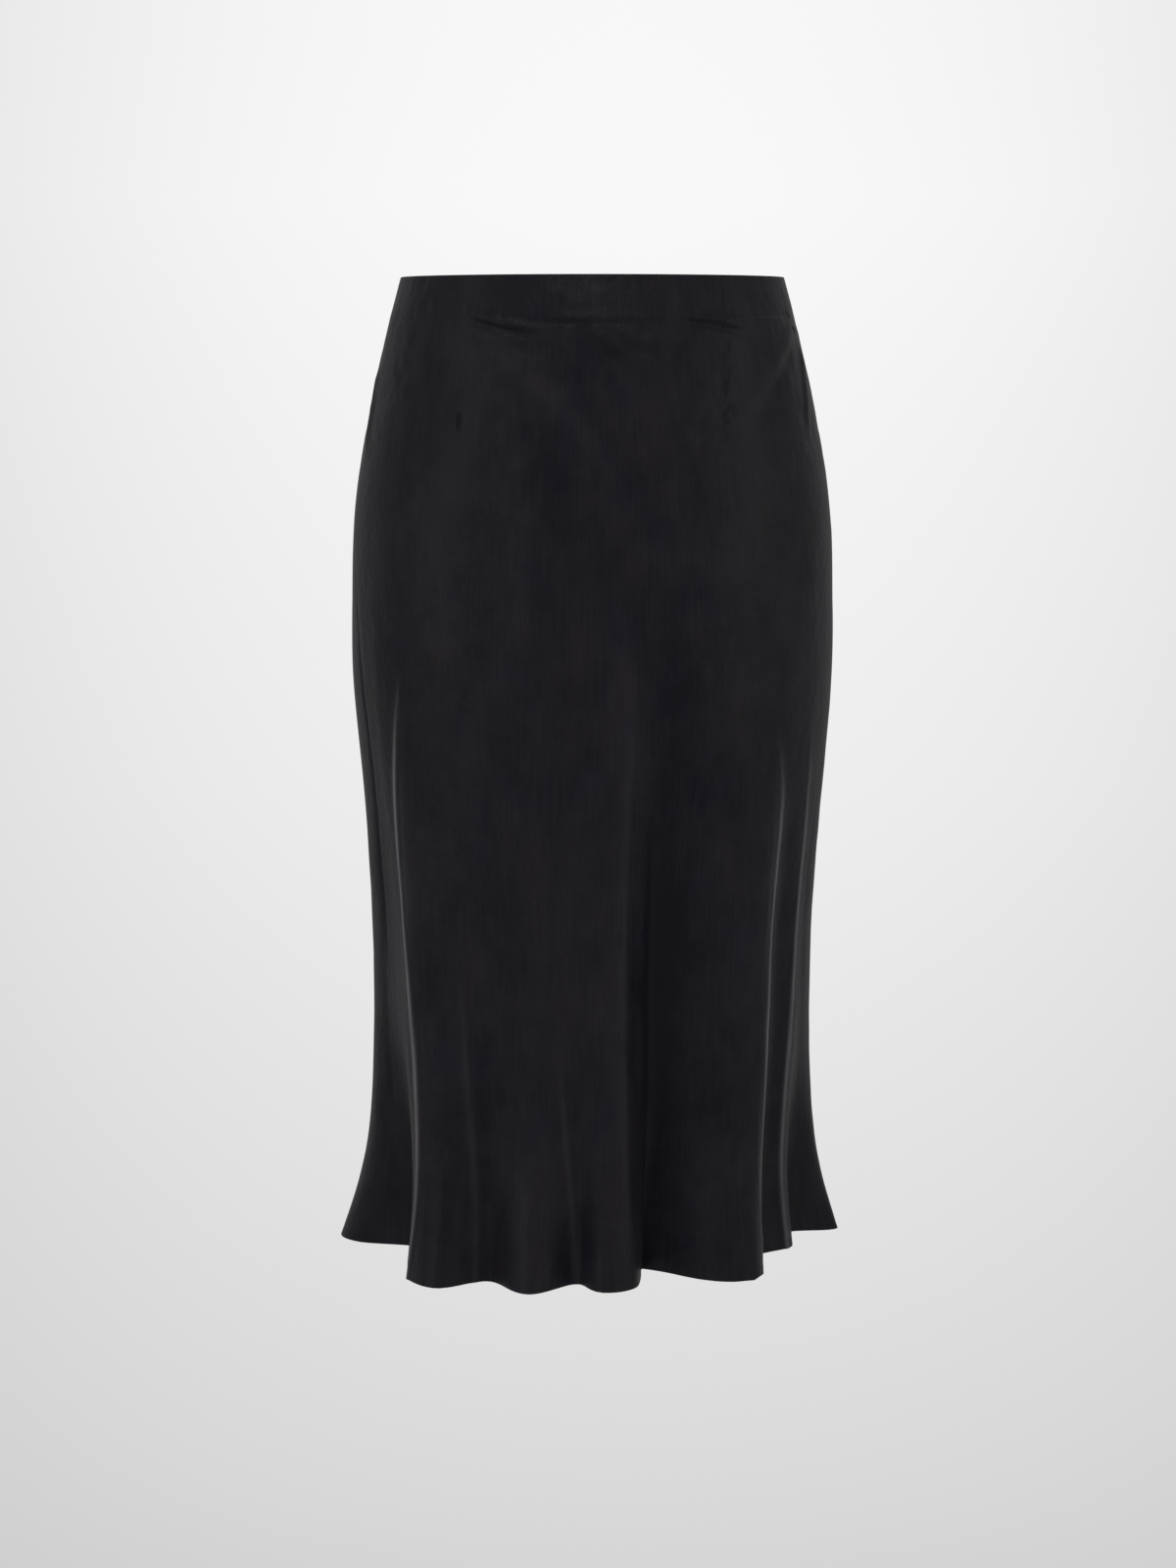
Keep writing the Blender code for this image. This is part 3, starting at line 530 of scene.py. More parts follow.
def frost(angle, drop):
    """The painted highlight: how much paler the colour is painted along the fold edges, strongest where each has just
    formed.
    """
    span = tube_span(angle, drop)
    rubbed_and_painted_highlight = np.zeros(np.broadcast(angle, drop).shape)
    for edge in EDGES:
        fading = 1 - HIGHLIGHT_LOSS * past(drop, edge.drops[0] + HIGHLIGHT_HOLDS, HIGHLIGHT_RUN)
        rubbed_and_painted_highlight += edge.frost * fading * on_edge(edge, angle, drop, span, HIGHLIGHT_WIDTH * edge.half_width)
    return rubbed_and_painted_highlight


def relief(angle, drop):
    """Painted light and shade: how far a fold stands before the plain oval, from 1 to -1 well behind it, plus the
    painted bands.

    The colour is painted paler on the folds that stand proud, as painted light, and darker in the hollows, as
    painted shade. Both ease off where the hem flares.
    """
    place, plain = tube(angle, drop)[..., :2], plain_ring(angle, drop)
    before = np.linalg.norm(place, axis=-1) - np.linalg.norm(plain, axis=-1)
    stands = np.clip(before / np.where(before > 0, PROUD, SUNK), -1, 1)
    stands *= 1 - FLARE_LOSS * past(drop, FLARE, FLARE_RUN)
    span = tube_span(angle, drop)
    return stands + sum(band.frost * on_edge(band, angle, drop, span, band.half_width) for band in BANDS)


def ripples(angle, drop, cells_round, cell_drop, seed):
    """Random heights from -1 to 1 at the corners of a grid that closes round the body, eased between corners."""
    rows = int(LENGTH / cell_drop) + 3
    corners = np.random.default_rng(seed).uniform(-1, 1, (rows, cells_round))
    across, down = np.mod(angle / (2 * math.pi), 1) * cells_round, np.clip(drop, 0, LENGTH) / cell_drop
    i, j = down.astype(int), across.astype(int) % cells_round
    b, a = eased(down - i), eased(across - np.floor(across))
    k = (j + 1) % cells_round
    top = corners[i, j] * (1 - a) + corners[i, k] * a
    bottom = corners[i + 1, j] * (1 - a) + corners[i + 1, k] * a
    return top * (1 - b) + bottom * b


all_round = np.radians(np.arange(360))
# the most highlight painted along the fold edges at knee height
print("at knee height the nap is rubbed by up to %.2f" % frost(all_round, KNEE_DROP).max())

# %% [markdown]
# ### Seams that pucker
#
# A stitched bias seam is a narrow valley, with short ripples that run away from it on both sides. The hem is
# the same along its line of stitches. Their depth comes from two more noises with very short cells.

# %% Seams and hem
Ripple = namedtuple("Ripple", "even waist lower cells_round cell_drop seed")
RIPPLES = [  # heights all over, added at the waist and added in the lower half, then the noise's cells
    Ripple(0.00016, 0.00012, 0, 56, 0.016, 3),
    Ripple(0, 0.00016, 0, 130, 0.007, 5),
    Ripple(0.00012, 0, 0.00030, 70, 0.150, 8),
    Ripple(0, 0, 0.00010, 190, 0.110, 13),
]
WAIST_ENDS, WAIST_RUN = 0.09, 0.12  # from where, and over what run, the waist's ripples fade
LOWER_STARTS, LOWER_RUN = 0.25, 0.30
SEAM_SINK, SEAM_HALF_WIDTH = 0.0005, 0.0020
PUCKER, PUCKER_REACH = 0.00030, 0.0090
ZIP_CALM = 0.7  # the share of a seam's sinking and puckers that the zip's tape takes away
HEM_SINK, HEM_SINK_WIDTH = 0.00018, 0.0012
HEM_WAVE, HEM_WAVE_RISE = 0.00018, 2.2 * HEM_TURN  # how high the hem's edge waves, and from how far above it


def seam_distance(angle):
    """Metres round the body to the nearer side seam."""
    nearest = abs(abs(np.mod(angle + math.pi, 2 * math.pi) - math.pi) - math.radians(SEAM_ANGLE))
    return nearest * METRES_PER_RADIAN


def zipped(angle, drop):
    """1 along the zip in the wearer's left seam, which a stiff tape keeps flat, and 0 away from it."""
    return (np.mod(angle, 2 * math.pi) < math.pi) * (1 - past(drop, ZIP_END, 0.015))


def cloth_height(angle, drop, span):
    """How far the cloth stands out from the tube: darts, creases, ripples, seams and the hem's stitch line."""
    angle, drop = np.broadcast_arrays(angle, drop)
    height = dart_height(angle, drop)
    for crease in CREASES:
        height = height + crease_height(crease, angle, drop)
    for edge in EDGES:
        height = height + edge.height * on_edge(edge, angle, drop, span, edge.half_width)
    waist, lower = 1 - past(drop, WAIST_ENDS, WAIST_RUN), past(drop, LOWER_STARTS, LOWER_RUN)
    for ripple in RIPPLES:
        strength = ripple.even + ripple.waist * waist + ripple.lower * lower
        height = height + strength * ripples(angle, drop, ripple.cells_round, ripple.cell_drop, ripple.seed)
    away = seam_distance(angle)
    calm = 1 - ZIP_CALM * zipped(angle, drop)
    height -= calm * SEAM_SINK * bell(away, SEAM_HALF_WIDTH)
    height += calm * PUCKER * bell(away, PUCKER_REACH) * ripples(angle, drop, 60, 0.0065, 21)
    height -= HEM_SINK * bell(drop - HEM_LINE, HEM_SINK_WIDTH)
    at_hem = past(drop, LENGTH - HEM_WAVE_RISE, HEM_TURN)
    return height + HEM_WAVE * at_hem * ripples(angle, drop, 230, 0.012, 34)


def cloth(angle, drop):
    """The tube's points moved out, level, across their own ring by the cloth's height."""
    across = tube(angle + 1e-4, drop) - tube(angle - 1e-4, drop)
    outward = np.stack([across[..., 1], -across[..., 0], np.zeros_like(across[..., 0])], -1)
    length = np.linalg.norm(outward, axis=-1)
    return tube(angle, drop) + outward * (cloth_height(angle, drop, length / 2e-4) / length)[..., None]


def frame_on(surface, angle, drop):
    """Points of a surface, with unit vectors across, down and outward, and the metres that a radian spans."""
    tiny = 2e-4
    across = surface(angle + tiny, drop) - surface(angle - tiny, drop)
    down = surface(angle, np.minimum(drop + tiny, LENGTH)) - surface(angle, np.maximum(drop - tiny, 0))
    radian = np.linalg.norm(across, axis=-1) / (2 * tiny)
    across /= np.linalg.norm(across, axis=-1, keepdims=True)
    down /= np.linalg.norm(down, axis=-1, keepdims=True)
    outward = np.cross(across, -down)
    outward /= np.linalg.norm(outward, axis=-1, keepdims=True)
    return surface(angle, drop), across, down, outward, radian


heights = 1000 * cloth_height(all_round, KNEE_DROP, tube_span(all_round, KNEE_DROP))
print("at knee height the cloth is %.1f to %.1f mm out from the tube" % (heights.min(), heights.max()))

# %% [markdown]
# ## A wall of cloth with turned edges
#
# Satin is a quarter of a millimetre thick, and at a hem or a seam it turns back on itself. A Solidify modifier
# would thicken a bare surface, but it can't turn an edge in. So each piece is a grid whose first and last rows
# and columns go round a small half circle and back along the inside. A profile says, for each row or column, how
# far in it lies and which way the wall's other face is from there.

# %% Profiles
WALL = 0.00045  # the cloth, a little over its real thickness so that its edges catch light
TURN_RADIUS = 0.00062  # of the outer face, where the cloth turns back
TURN_STEPS = 7  # round the half circle
TURN_BACK = np.array([1.0, 0.6, 0.25])  # the rows of the part that lies back inside, as shares of its length
Profile = namedtuple("Profile", "place depth lean lean_in")


def turned(places, start, end, radius=TURN_RADIUS):
    """Places along the cloth, with a turning at each end that has one: (where its edge is, how much is turned).

    Round a turning, place = edge -/+ radius (1 - sin t) and depth = radius (1 -/+ cos t), and the lean points
    at the middle of the half circle. Past it the cloth runs back inside, two radii deep.
    """
    turn = np.linspace(0, math.pi, TURN_STEPS)
    flat = 0 * TURN_BACK
    parts = [(places, 0 * places, 0 * places, 0 * places + 1)]
    if start:
        edge, length = start
        rise = [radius * (1 + np.cos(turn)), np.sin(turn), -np.cos(turn)]
        parts.insert(0, (edge + radius * (1 - np.sin(turn)), *rise))
        parts.insert(0, (edge + radius + length * TURN_BACK, flat + 2 * radius, flat, flat - 1))
    if end:
        edge, length = end
        rise = [radius * (1 - np.cos(turn)), -np.sin(turn), np.cos(turn)]
        parts.append((edge - radius * (1 - np.sin(turn)), *rise))
        parts.append((edge - radius - length * TURN_BACK[::-1], flat + 2 * radius, flat, flat - 1))
    return Profile(*[np.concatenate(column) for column in zip(*parts)])


print("a turned edge adds", len(turned(np.zeros(1), (0, HEM_TURN), None).place) - 1, "rows")

# %% [markdown]
# ### From a grid to a mesh
#
# The two faces of the wall are two grids of the same size. Their quads and those of the rim come from one table
# of point numbers, so that the mesh is closed and all its faces point out. The cloth's own coordinates, in
# metres across and down, go into the UV map, which is what the weave follows. The highlights painted along the
# fold edges, and the light and shade painted on the folds and bands, go into two attributes, for the colour.

# %% Meshes from grids
SMOOTH_BELOW = 55  # degrees between two faces that still shade as one
SQUEEZE = 0.55  # how much flatter a seam's turning is pressed where the waist or the hem turns over it


def new_piece(name, points, faces, uv=None, inside=None, materials=(), tone_and_painted_light=None):
    """A smooth mesh object. uv and wear's values have a row for each point, and inside marks the faces of the
    second material."""
    mesh = bpy.data.meshes.new(name)
    mesh.from_pydata(points.tolist(), [], faces if isinstance(faces, list) else faces.tolist())
    for material in materials:
        mesh.materials.append(material)
    if inside is not None:
        mesh.polygons.foreach_set("material_index", inside.astype(np.int32))
    if uv is not None:
        corner = np.zeros(len(mesh.loops), np.int32)
        mesh.loops.foreach_get("vertex_index", corner)
        mesh.uv_layers.new(name="cloth").data.foreach_set("uv", uv[corner].astype(np.float32).ravel())
    for attribute, values in (tone_and_painted_light or {}).items():
        mesh.attributes.new(attribute, "FLOAT", "POINT").data.foreach_set("value", values.astype(np.float32))
    mesh.shade_smooth()
    mesh.set_sharp_from_angle(angle=math.radians(SMOOTH_BELOW))
    piece = bpy.data.objects.new(name, mesh)
    bpy.context.scene.collection.objects.link(piece)
    return piece


def grid_quads(number):
    """Quads between the neighbours in a grid of point numbers."""
    return np.stack([number[:-1, :-1], number[1:, :-1], number[1:, 1:], number[:-1, 1:]], -1).reshape(-1, 4)


def wall_faces(rows, columns):
    """Quads of the outer grid, of the inner one turned over, and of the rim between them."""
    number = np.arange(rows * columns).reshape(rows, columns)
    outer = grid_quads(number)
    inner = outer[:, ::-1] + rows * columns
    loop = np.concatenate([number[:, 0], number[-1, 1:], number[-2::-1, -1], number[0, -2:0:-1]])
    after = np.roll(loop, -1)
    rim = np.stack([after, loop, loop + rows * columns, after + rows * columns], -1)
    return np.concatenate([outer, inner, rim])


def wall_piece(name, angle, rows, columns, depth, wall, materials, side=1):
    """A closed wall on the cloth's form.

    angle has a row for each place of rows, and a column for each place of columns, whose own place is metres
    aside of it. The outer face lies at depth plus both profiles' depths, and the inner one is a wall further
    along their leans. Where a column is turned back, its edges at the waist and the hem are moved in by a wall,
    to end flush with their neighbours. With side -1 the piece is turned over: its outer face looks at the wearer.
    """
    drop = np.broadcast_to(rows.place[:, None], angle.shape)
    _, _, _, _, radian = frame_on(cloth, angle, drop)
    angle = angle + columns.place[None, :] / radian
    points, across, down, outward, _ = frame_on(cloth, angle, drop)
    squeezed = 1 - SQUEEZE * np.clip(rows.depth / (2 * TURN_RADIUS), 0, 1)
    turns = rows.depth[:, None] + columns.depth[None, :] * squeezed[:, None]
    flush = wall * rows.lean[:, None] * (1 - columns.lean_in[None, :]) / 2
    outside = points - (depth + side * turns)[..., None] * outward + flush[..., None] * down
    aside = columns.lean[None, :, None] * across
    along = (rows.lean[:, None] * columns.lean_in[None, :])[..., None] * down
    inward = (rows.lean_in[:, None] * columns.lean_in[None, :])[..., None] * -outward
    lean = aside + along + side * inward
    inside = outside + wall * lean / np.linalg.norm(lean, axis=-1, keepdims=True)
    faces = wall_faces(*angle.shape)
    quads = (angle.shape[0] - 1) * (angle.shape[1] - 1)
    order = np.arange(len(faces))
    uv = np.stack([angle * METRES_PER_RADIAN, -drop], -1).reshape(-1, 2)
    points = np.concatenate([outside.reshape(-1, 3), inside.reshape(-1, 3)])
    within = (order >= quads) & (order < 2 * quads)
    faces = faces[:, ::side]
    # per point: the highlight painted along the fold edges, and the light and shade painted on the folds and bands
    tone_and_painted_light = {"worn": np.tile(frost(angle, drop).ravel(), 2), "relief": np.tile(relief(angle, drop).ravel(), 2)}
    piece = new_piece(name, points, faces, np.concatenate([uv, uv]), within, materials, tone_and_painted_light)
    print("%s: %d rows, %d columns, %d triangles" % (name, *angle.shape, 2 * len(faces)))
    return piece


print("a wall of 3 rows and 4 columns has", len(wall_faces(3, 4)), "faces")

# %% [markdown]
# ## Shader maths
#
# A material is easier to read as a formula than as a list of nodes. This small class stands for one output of
# a node, and Python's own operators on it add Math nodes, so 1 - mask or noise * 0.2 can be written as it is.
# Everything else, such as a noise or a colour ramp, comes from one method.


# %% The shader class
class Wire:
    """One output of a node. Its operators add Math nodes, and node() adds any other."""

    def __init__(self, tree, socket):
        self.tree, self.socket = tree, socket

    def node(self, kind, settings=None, inputs=None, output=0):
        made = self.tree.nodes.new(kind)
        for name, value in (settings or {}).items():
            if name == "stops":
                while len(made.color_ramp.elements) < len(value):
                    made.color_ramp.elements.new(1)
                for element, (place, shade) in zip(made.color_ramp.elements, value):
                    element.position, element.color = place, (shade, shade, shade, 1)
            else:
                setattr(made, name, value)
        for name, value in (inputs or {}).items():
            if isinstance(value, Wire):
                self.tree.links.new(value.socket, made.inputs[name])
            else:
                made.inputs[name].default_value = value
        return Wire(self.tree, made.outputs[output])

    def maths(self, operation, *values):
        return self.node("ShaderNodeMath", {"operation": operation}, dict(enumerate(values)))

    def __add__(self, other):
        return self.maths("ADD", self, other)

    def __sub__(self, other):
        return self.maths("SUBTRACT", self, other)

    def __rsub__(self, other):
        return self.maths("SUBTRACT", other, self)

    def __mul__(self, other):
        return self.maths("MULTIPLY", self, other)

    __radd__, __rmul__ = __add__, __mul__

    def mix(self, factor, first, second, blend="MIX"):
        """The first colour, going to the second as the factor goes from 0 to 1."""
        settings = {"data_type": "RGBA", "clamp_factor": True, "blend_type": blend}
        first, second = (colour if isinstance(colour, Wire) else (*colour, 1) for colour in (first, second))
        return self.node("ShaderNodeMix", settings, {"Factor": factor, 6: first, 7: second}, 2)

    def bump(self, height, strength=1.0):
        """The surface's normal, tilted by a height in metres."""
        return self.node("ShaderNodeBump", {}, {"Strength": strength, "Distance": 1.0, "Height": height})

    def attribute(self, name):
        return self.node("ShaderNodeAttribute", {"attribute_name": name}, {}, 2)

    def noise(self, cell, detail=2.0, roughness=0.5):
        """Noise from -0.5 to 0.5 whose cells have these sizes in metres along each axis of this vector."""
        scale = tuple(1 / size for size in cell)
        stretched = self.node("ShaderNodeVectorMath", {"operation": "MULTIPLY"}, {0: self, 1: scale})
        sockets = {"Vector": stretched, "Scale": 1.0, "Detail": detail, "Roughness": roughness}
        return self.node("ShaderNodeTexNoise", {"noise_dimensions": "3D"}, sockets) - 0.5


def new_material(name, uniform):
    """An empty Principled material with its unchanging sockets set, its shader node, and a wire to start from."""
    material = bpy.data.materials.new(name)
    material.use_nodes = True
    shader = material.node_tree.nodes["Principled BSDF"]
    for socket, value in uniform.items():
        shader.inputs[socket].default_value = value
    return material, shader, Wire(material.node_tree, None)


def feed(wire, shader, socket):
    """Links a wire to one of the shader's sockets."""
    wire.tree.links.new(wire.socket, shader.inputs[socket])


print("a wire can:", [name for name in vars(Wire) if not name.startswith("_")])

# %% [markdown]
# ## Black sandwashed satin
#
# Satin shines because long threads float over its face. Washed with sand, it keeps a broad, silvery sheen and
# gets a fine nap, so it is dark where it faces the eye and pale where it turns away. The sheen and the roughness
# are the shader's own. The noises are the faint upright streaks of uneven yarn, the clouds and the wide patches
# that washing leaves, the small crinkles it sets, and the slanting weave of a bias cut. The two attributes paint
# light and shade into the colour: highlights along the folds' edges, paler cloth on the folds that stand proud,
# darker cloth in the hollows, and bands of both. The inside of the cloth is the dull side.

# %% Satin
# the dye's dark and pale ends: the colour also moves towards the pale one as painted light on proud folds, and
# towards the dark one as painted shade in the hollows
YARN = (0.0095, 0.0088, 0.0118)
YARN_WORN_AND_PAINTED_LIGHT = (0.0215, 0.0195, 0.0220)
COOL, WARM = (0.94, 0.95, 1.14), (1.05, 1.00, 0.96)  # the dye's hue wanders a little between these
PAINTED_HIGHLIGHT = (0.170, 0.162, 0.172)  # painted highlight: the colour painted along a fold's edge
WEAR = 0.47  # how worn the dye is where the noises are in their middle
SLANT = 0.785  # the weave's angle to the length of the cloth: a true bias


def satin(name, roughness, sheen, streak_height):
    """Satin whose colour, roughness and bump vary with noises on the cloth's own coordinates, and whose colour also
    carries painted light and shade from two attributes.
    """
    uniform = {"Specular IOR Level": 0.12, "Sheen Weight": sheen, "Sheen Roughness": 0.35}
    uniform["Sheen Tint"] = (0.9, 0.9, 0.95, 1)
    material, shader, start = new_material(name, uniform)
    place = start.node("ShaderNodeUVMap", {"uv_map": "cloth"})
    streaks = place.noise((0.0016, 0.045, 1), 3, 0.6)
    clouds = place.noise((0.016, 0.024, 1), 4, 0.6)
    patches = place.noise((0.045, 0.080, 1), 3, 0.55)
    hues = place.noise((0.034, 0.050, 1), 4, 0.6)
    crinkles = place.noise((0.0085, 0.0100, 1), 4, 0.65)
    slant = start.node("ShaderNodeVectorRotate", {"rotation_type": "Z_AXIS"}, {"Vector": place, "Angle": SLANT})
    weave = slant.noise((0.00045, 0.0022, 1), 1, 0.4)
    # random tone from the noises, plus painted light and painted shade from the folds and the bands
    tone_and_painted_light = WEAR + clouds * 1.05 + streaks * 1.1 + patches * 1.35 + start.attribute("relief") * 0.45
    hue = start.mix(0.5 + hues * 2.4, COOL, WARM)
    dye_with_painted_light = start.mix(1.0, start.mix(tone_and_painted_light, YARN, YARN_WORN_AND_PAINTED_LIGHT), hue, "MULTIPLY")
    # painted highlight along the fold edges, streaked like the yarn
    rubbed_and_painted_highlight = start.attribute("worn") * (1 + streaks * 1.2)
    feed(start.mix(rubbed_and_painted_highlight, dye_with_painted_light, PAINTED_HIGHLIGHT), shader, "Base Color")
    feed(roughness + clouds * 0.10 + streaks * 0.06, shader, "Roughness")
    height = streaks * streak_height + weave * 0.00003 + clouds * 0.0004 + crinkles * 0.00060
    feed(start.bump(height), shader, "Normal")
    return material


satin_face = satin("satin_face", 0.38, 0.014, 0.00006)
satin_inside = satin("satin_inside", 0.60, 0.02, 0.00003)
print("satin:", len(satin_face.node_tree.nodes), "nodes")

# %% [markdown]
# ## The panels
#
# The skirt has one front and one back, joined at the sides. Their grids are fine where the cloth is busy: at
# the darts, the seams, the waist and the hem. The columns beside a dart follow its slanting line, so that its
# narrow groove stays sharp.

# %% Rows and columns
TOP_TURN, SEAM_TURN = 0.006, 0.009  # how far the waist and the seams are turned in
DART_STEPS = (-8, -5, -3.2, -2.0, -1.2, -0.7, -0.35, 0, 0.35, 0.7, 1.2, 2.0, 3.2, 5, 8)  # mm beside a dart
WAIST_ROWS, FINE_ROWS, HIP_ROWS = 0.0023, 0.0009, 0.0088  # metres between rows: at the waist, a ridge, the rest
SLIDER_CLEAR = 0.0010  # from the seam's line to the cloth beside the zip's slider
PARTED_FROM, PARTED_RUN = 0.002, 0.004  # the seam opens round the slider from this drop
CLOSED_FROM, CLOSED_RUN = 0.0095, 0.0075  # and closes again below it
NO_EDGE, NO_GUIDE, NO_COLUMN = 0.1, 0.012, 0.006  # radians kept clear: of a side, of another guide, of a guide


def panel_rows():
    """Drops from the waist edge to the hem, closest at the facing's edge, and closer at the waist and the hem."""
    line = np.arange(0.0290, 0.0400, FINE_ROWS)  # the facing's edge
    waist = np.concatenate([np.arange(0.0015, 0.0280, WAIST_ROWS), line, np.arange(0.0412, 0.135, WAIST_ROWS)])
    hips = np.arange(0.137, 0.690, HIP_ROWS)
    hem_end = np.linspace(0.694, LENGTH - TURN_RADIUS - 0.0006, 17)
    places = np.concatenate([waist, hips, hem_end])
    return turned(places, (0.0, TOP_TURN), (LENGTH, HEM_TURN - 2 * TURN_RADIUS))


def beside_seam(seam, side, drop, zip_clear=None):
    """The angle of a piece's edge: half a gap from the seam's line, and further round the zip's slider."""
    _, _, _, _, radian = frame_on(cloth, np.full_like(drop, seam), drop)
    if zip_clear:
        return seam + side * zip_clear / radian[0] + 0 * drop
    parted = past(drop, PARTED_FROM, PARTED_RUN) * (1 - past(drop, CLOSED_FROM, CLOSED_RUN))
    parted = parted * (0 < seam < math.pi)
    return seam + side * (SEAM_GAP / 2 + (SLIDER_CLEAR - SEAM_GAP / 2) * parted) / radian


def columns_between(first, last, count, drop):
    """Even columns between two edges, with guides beside each dart and each fold edge that follow its line."""
    fine = np.linspace(first[0], last[0], 2000)
    edges = [tube(fine, np.full_like(fine, level)) for level in (0, LENGTH)]
    run = np.cumsum(sum(np.linalg.norm(np.diff(edge, axis=0), axis=-1) for edge in edges))
    even = np.interp(np.linspace(0, run[-1], count), np.concatenate([[0], run]), fine)
    guides = [first, last]
    for dart in DARTS:
        if first[0] < math.radians(dart.waist_angle) < last[0]:
            guides += [dart_line(dart, drop) + step / 1000 / METRES_PER_RADIAN for step in DART_STEPS]
    for edge in EDGES:
        line = edge_line(edge, drop)
        lines = [line + step / 1000 / tube_span(line, drop) for step in EDGE_STEPS]
        taken = abs(np.array(guides)[:, None] - np.array(lines)).min(axis=(0, 2)) < NO_GUIDE
        inside = first[0] + NO_EDGE < line[0] < last[0] - NO_EDGE
        guides += [guide for guide, near in zip(lines, taken) if inside and not near]
    guides = np.array(sorted(guides, key=lambda guide: guide[0]))
    clear = abs(even[:, None] - guides[:, 0]).min(axis=1) > NO_COLUMN
    columns = np.sort(np.concatenate([guides[:, 0], even[clear]]))
    return np.array([np.interp(columns, guides[:, 0], places) for places in guides.T])


def with_turned_sides(angle, turning, radius=TURN_RADIUS):
    """The columns' angles and profile with the two edge columns repeated round their turnings."""
    middle = np.zeros(angle.shape[1] - 2)
    columns = turned(middle, (0.0, turning), (0.0, turning), radius)
    extra = (len(columns.place) - len(middle)) // 2
    ends = np.repeat(angle[:, :1], extra, 1), angle[:, 1:-1], np.repeat(angle[:, -1:], extra, 1)
    return np.concatenate(ends, axis=1), columns


print("a panel has", len(panel_rows().place), "rows")

# %% Front and back
def panel(name, first, last, count):
    """A panel: its columns run from one turned seam edge to the other, and its rows from waist to hem."""
    rows = panel_rows()
    drop = np.clip(rows.place, 0, LENGTH)
    angle = columns_between(beside_seam(first, 1, drop), beside_seam(last, -1, drop), count, drop)
    angle, columns = with_turned_sides(angle, SEAM_TURN)
    return wall_piece(name, angle, rows, columns, 0, WALL, (satin_face, satin_inside))


seam, whole_turn = math.radians(SEAM_ANGLE), 2 * math.pi
front = panel("front_cloth", -seam, seam, 232)
back = panel("back_cloth", seam, whole_turn - seam, 190)
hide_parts("front_panel")
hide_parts("back_panel")

# %% [markdown]
# ## The facings
#
# A skirt with no waistband has a shaped strip of its own cloth inside the waist edge, which holds the edge in
# shape. Its right side faces the wearer, so it is the same wall turned over. The top edge and both ends are
# turned under, and the lower edge is cut and overlocked.

# %% Facings
FACING_FACE = 0.00265  # depth of the face that the wearer feels
FACING_TURN, FACING_TURN_RADIUS, FACING_WALL = 0.005, 0.00045, 0.0004
ZIP_CLEAR = 0.0125  # the facings stop short of the zip's tape


def facing(name, first, last, count):
    """A strip from the waist edge down to the facing's depth, between two edges."""
    places = np.concatenate([np.arange(0.0012, 0.0335, 0.0017), [FACING_DEPTH - 0.0003]])
    rows = turned(places, (0.0004, FACING_TURN), None, FACING_TURN_RADIUS)
    drop = np.clip(rows.place, 0, LENGTH)
    edges = [beside_seam(line, side, drop, ZIP_CLEAR if line == seam else None) for line, side in (first, last)]
    angle, columns = with_turned_sides(columns_between(*edges, count, drop), FACING_TURN, FACING_TURN_RADIUS)
    return wall_piece(name, angle, rows, columns, FACING_FACE, FACING_WALL, (facing_face, satin_inside), -1)


facing_face = satin("facing_face", 0.46, 0.03, 0.00005)
front_facing = facing("front_facing_cloth", (-seam, 1), (seam, -1), 232)
back_facing = facing("back_facing_cloth", (seam, 1), (whole_turn - seam, -1), 190)
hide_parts("front_facing")
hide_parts("back_facing")

# %% [markdown]
# ## Threads
#
# A stitch is a short length of thread that comes up, lies on the cloth and dives again. Curves with a bevel
# would do, but thousands of them are lighter as one mesh, so a round profile is carried along every path at
# once. Only a few sides are needed at this size.


# %% Tubes along paths
def tube_quads(number):
    """Quads between each ring of point numbers and the next. The last two axes are the rings and their points."""
    after = np.roll(number, -1, axis=-1)
    corners = [number[..., :-1, :], after[..., :-1, :], after[..., 1:, :], number[..., 1:, :]]
    return np.stack(corners, -1).reshape(-1, 4)


def tubes(name, paths, normals, radius, sides, materials):
    """Round bars along many paths at once, their ends closed.

    paths and normals have a row for each bar. Each ring is path + radius (cos t x normal + sin t x binormal).
    """
    along = np.gradient(paths, axis=1)
    along /= np.linalg.norm(along, axis=-1, keepdims=True)
    normals = normals - along * (normals * along).sum(-1, keepdims=True)
    normals /= np.linalg.norm(normals, axis=-1, keepdims=True)
    binormals = np.cross(along, normals)
    turn = np.linspace(0, 2 * math.pi, sides, endpoint=False)[:, None]
    rings = np.cos(turn) * normals[:, :, None] + np.sin(turn) * binormals[:, :, None]
    points = paths[:, :, None] + radius * rings
    number = np.arange(points[..., 0].size).reshape(points.shape[:3])
    quads = tube_quads(number)
    ends = number[:, 0, ::-1].tolist() + number[:, -1].tolist()
    run = np.broadcast_to(np.arange(points.shape[1])[None, :, None] * radius, number.shape)
    uv = np.stack([run, number % sides * radius], -1).reshape(-1, 2)
    piece = new_piece(name, points.reshape(-1, 3), quads.tolist() + ends, uv, None, materials)
    print("%s: %d bars, %d quads" % (name, len(paths), len(quads)))
    return piece


print("a bar of 3 rings with 5 sides has", len(tube_quads(np.arange(15).reshape(3, 5))), "quads")


# %% Thread and its stitches
def spun(name, colour, roughness, cell):
    """Twisted thread: fine slanting ridges along its own length."""
    uniform = {"Base Color": (*colour, 1), "Specular IOR Level": 0.25, "Sheen Weight": 0.05}
    material, shader, start = new_material(name, uniform)
    place = start.node("ShaderNodeTexCoord", output=3)
    grain = place.noise((cell,) * 3, 2, 0.6)
    feed(roughness + grain * 0.2, shader, "Roughness")
    feed(start.bump(grain * 0.0001, 0.7), shader, "Normal")
    return material


thread = spun("thread", (0.014, 0.013, 0.015), 0.55, 0.0002)
STITCH, STITCH_GAP, THREAD_RADIUS = 0.0021, 0.0004, 0.00009


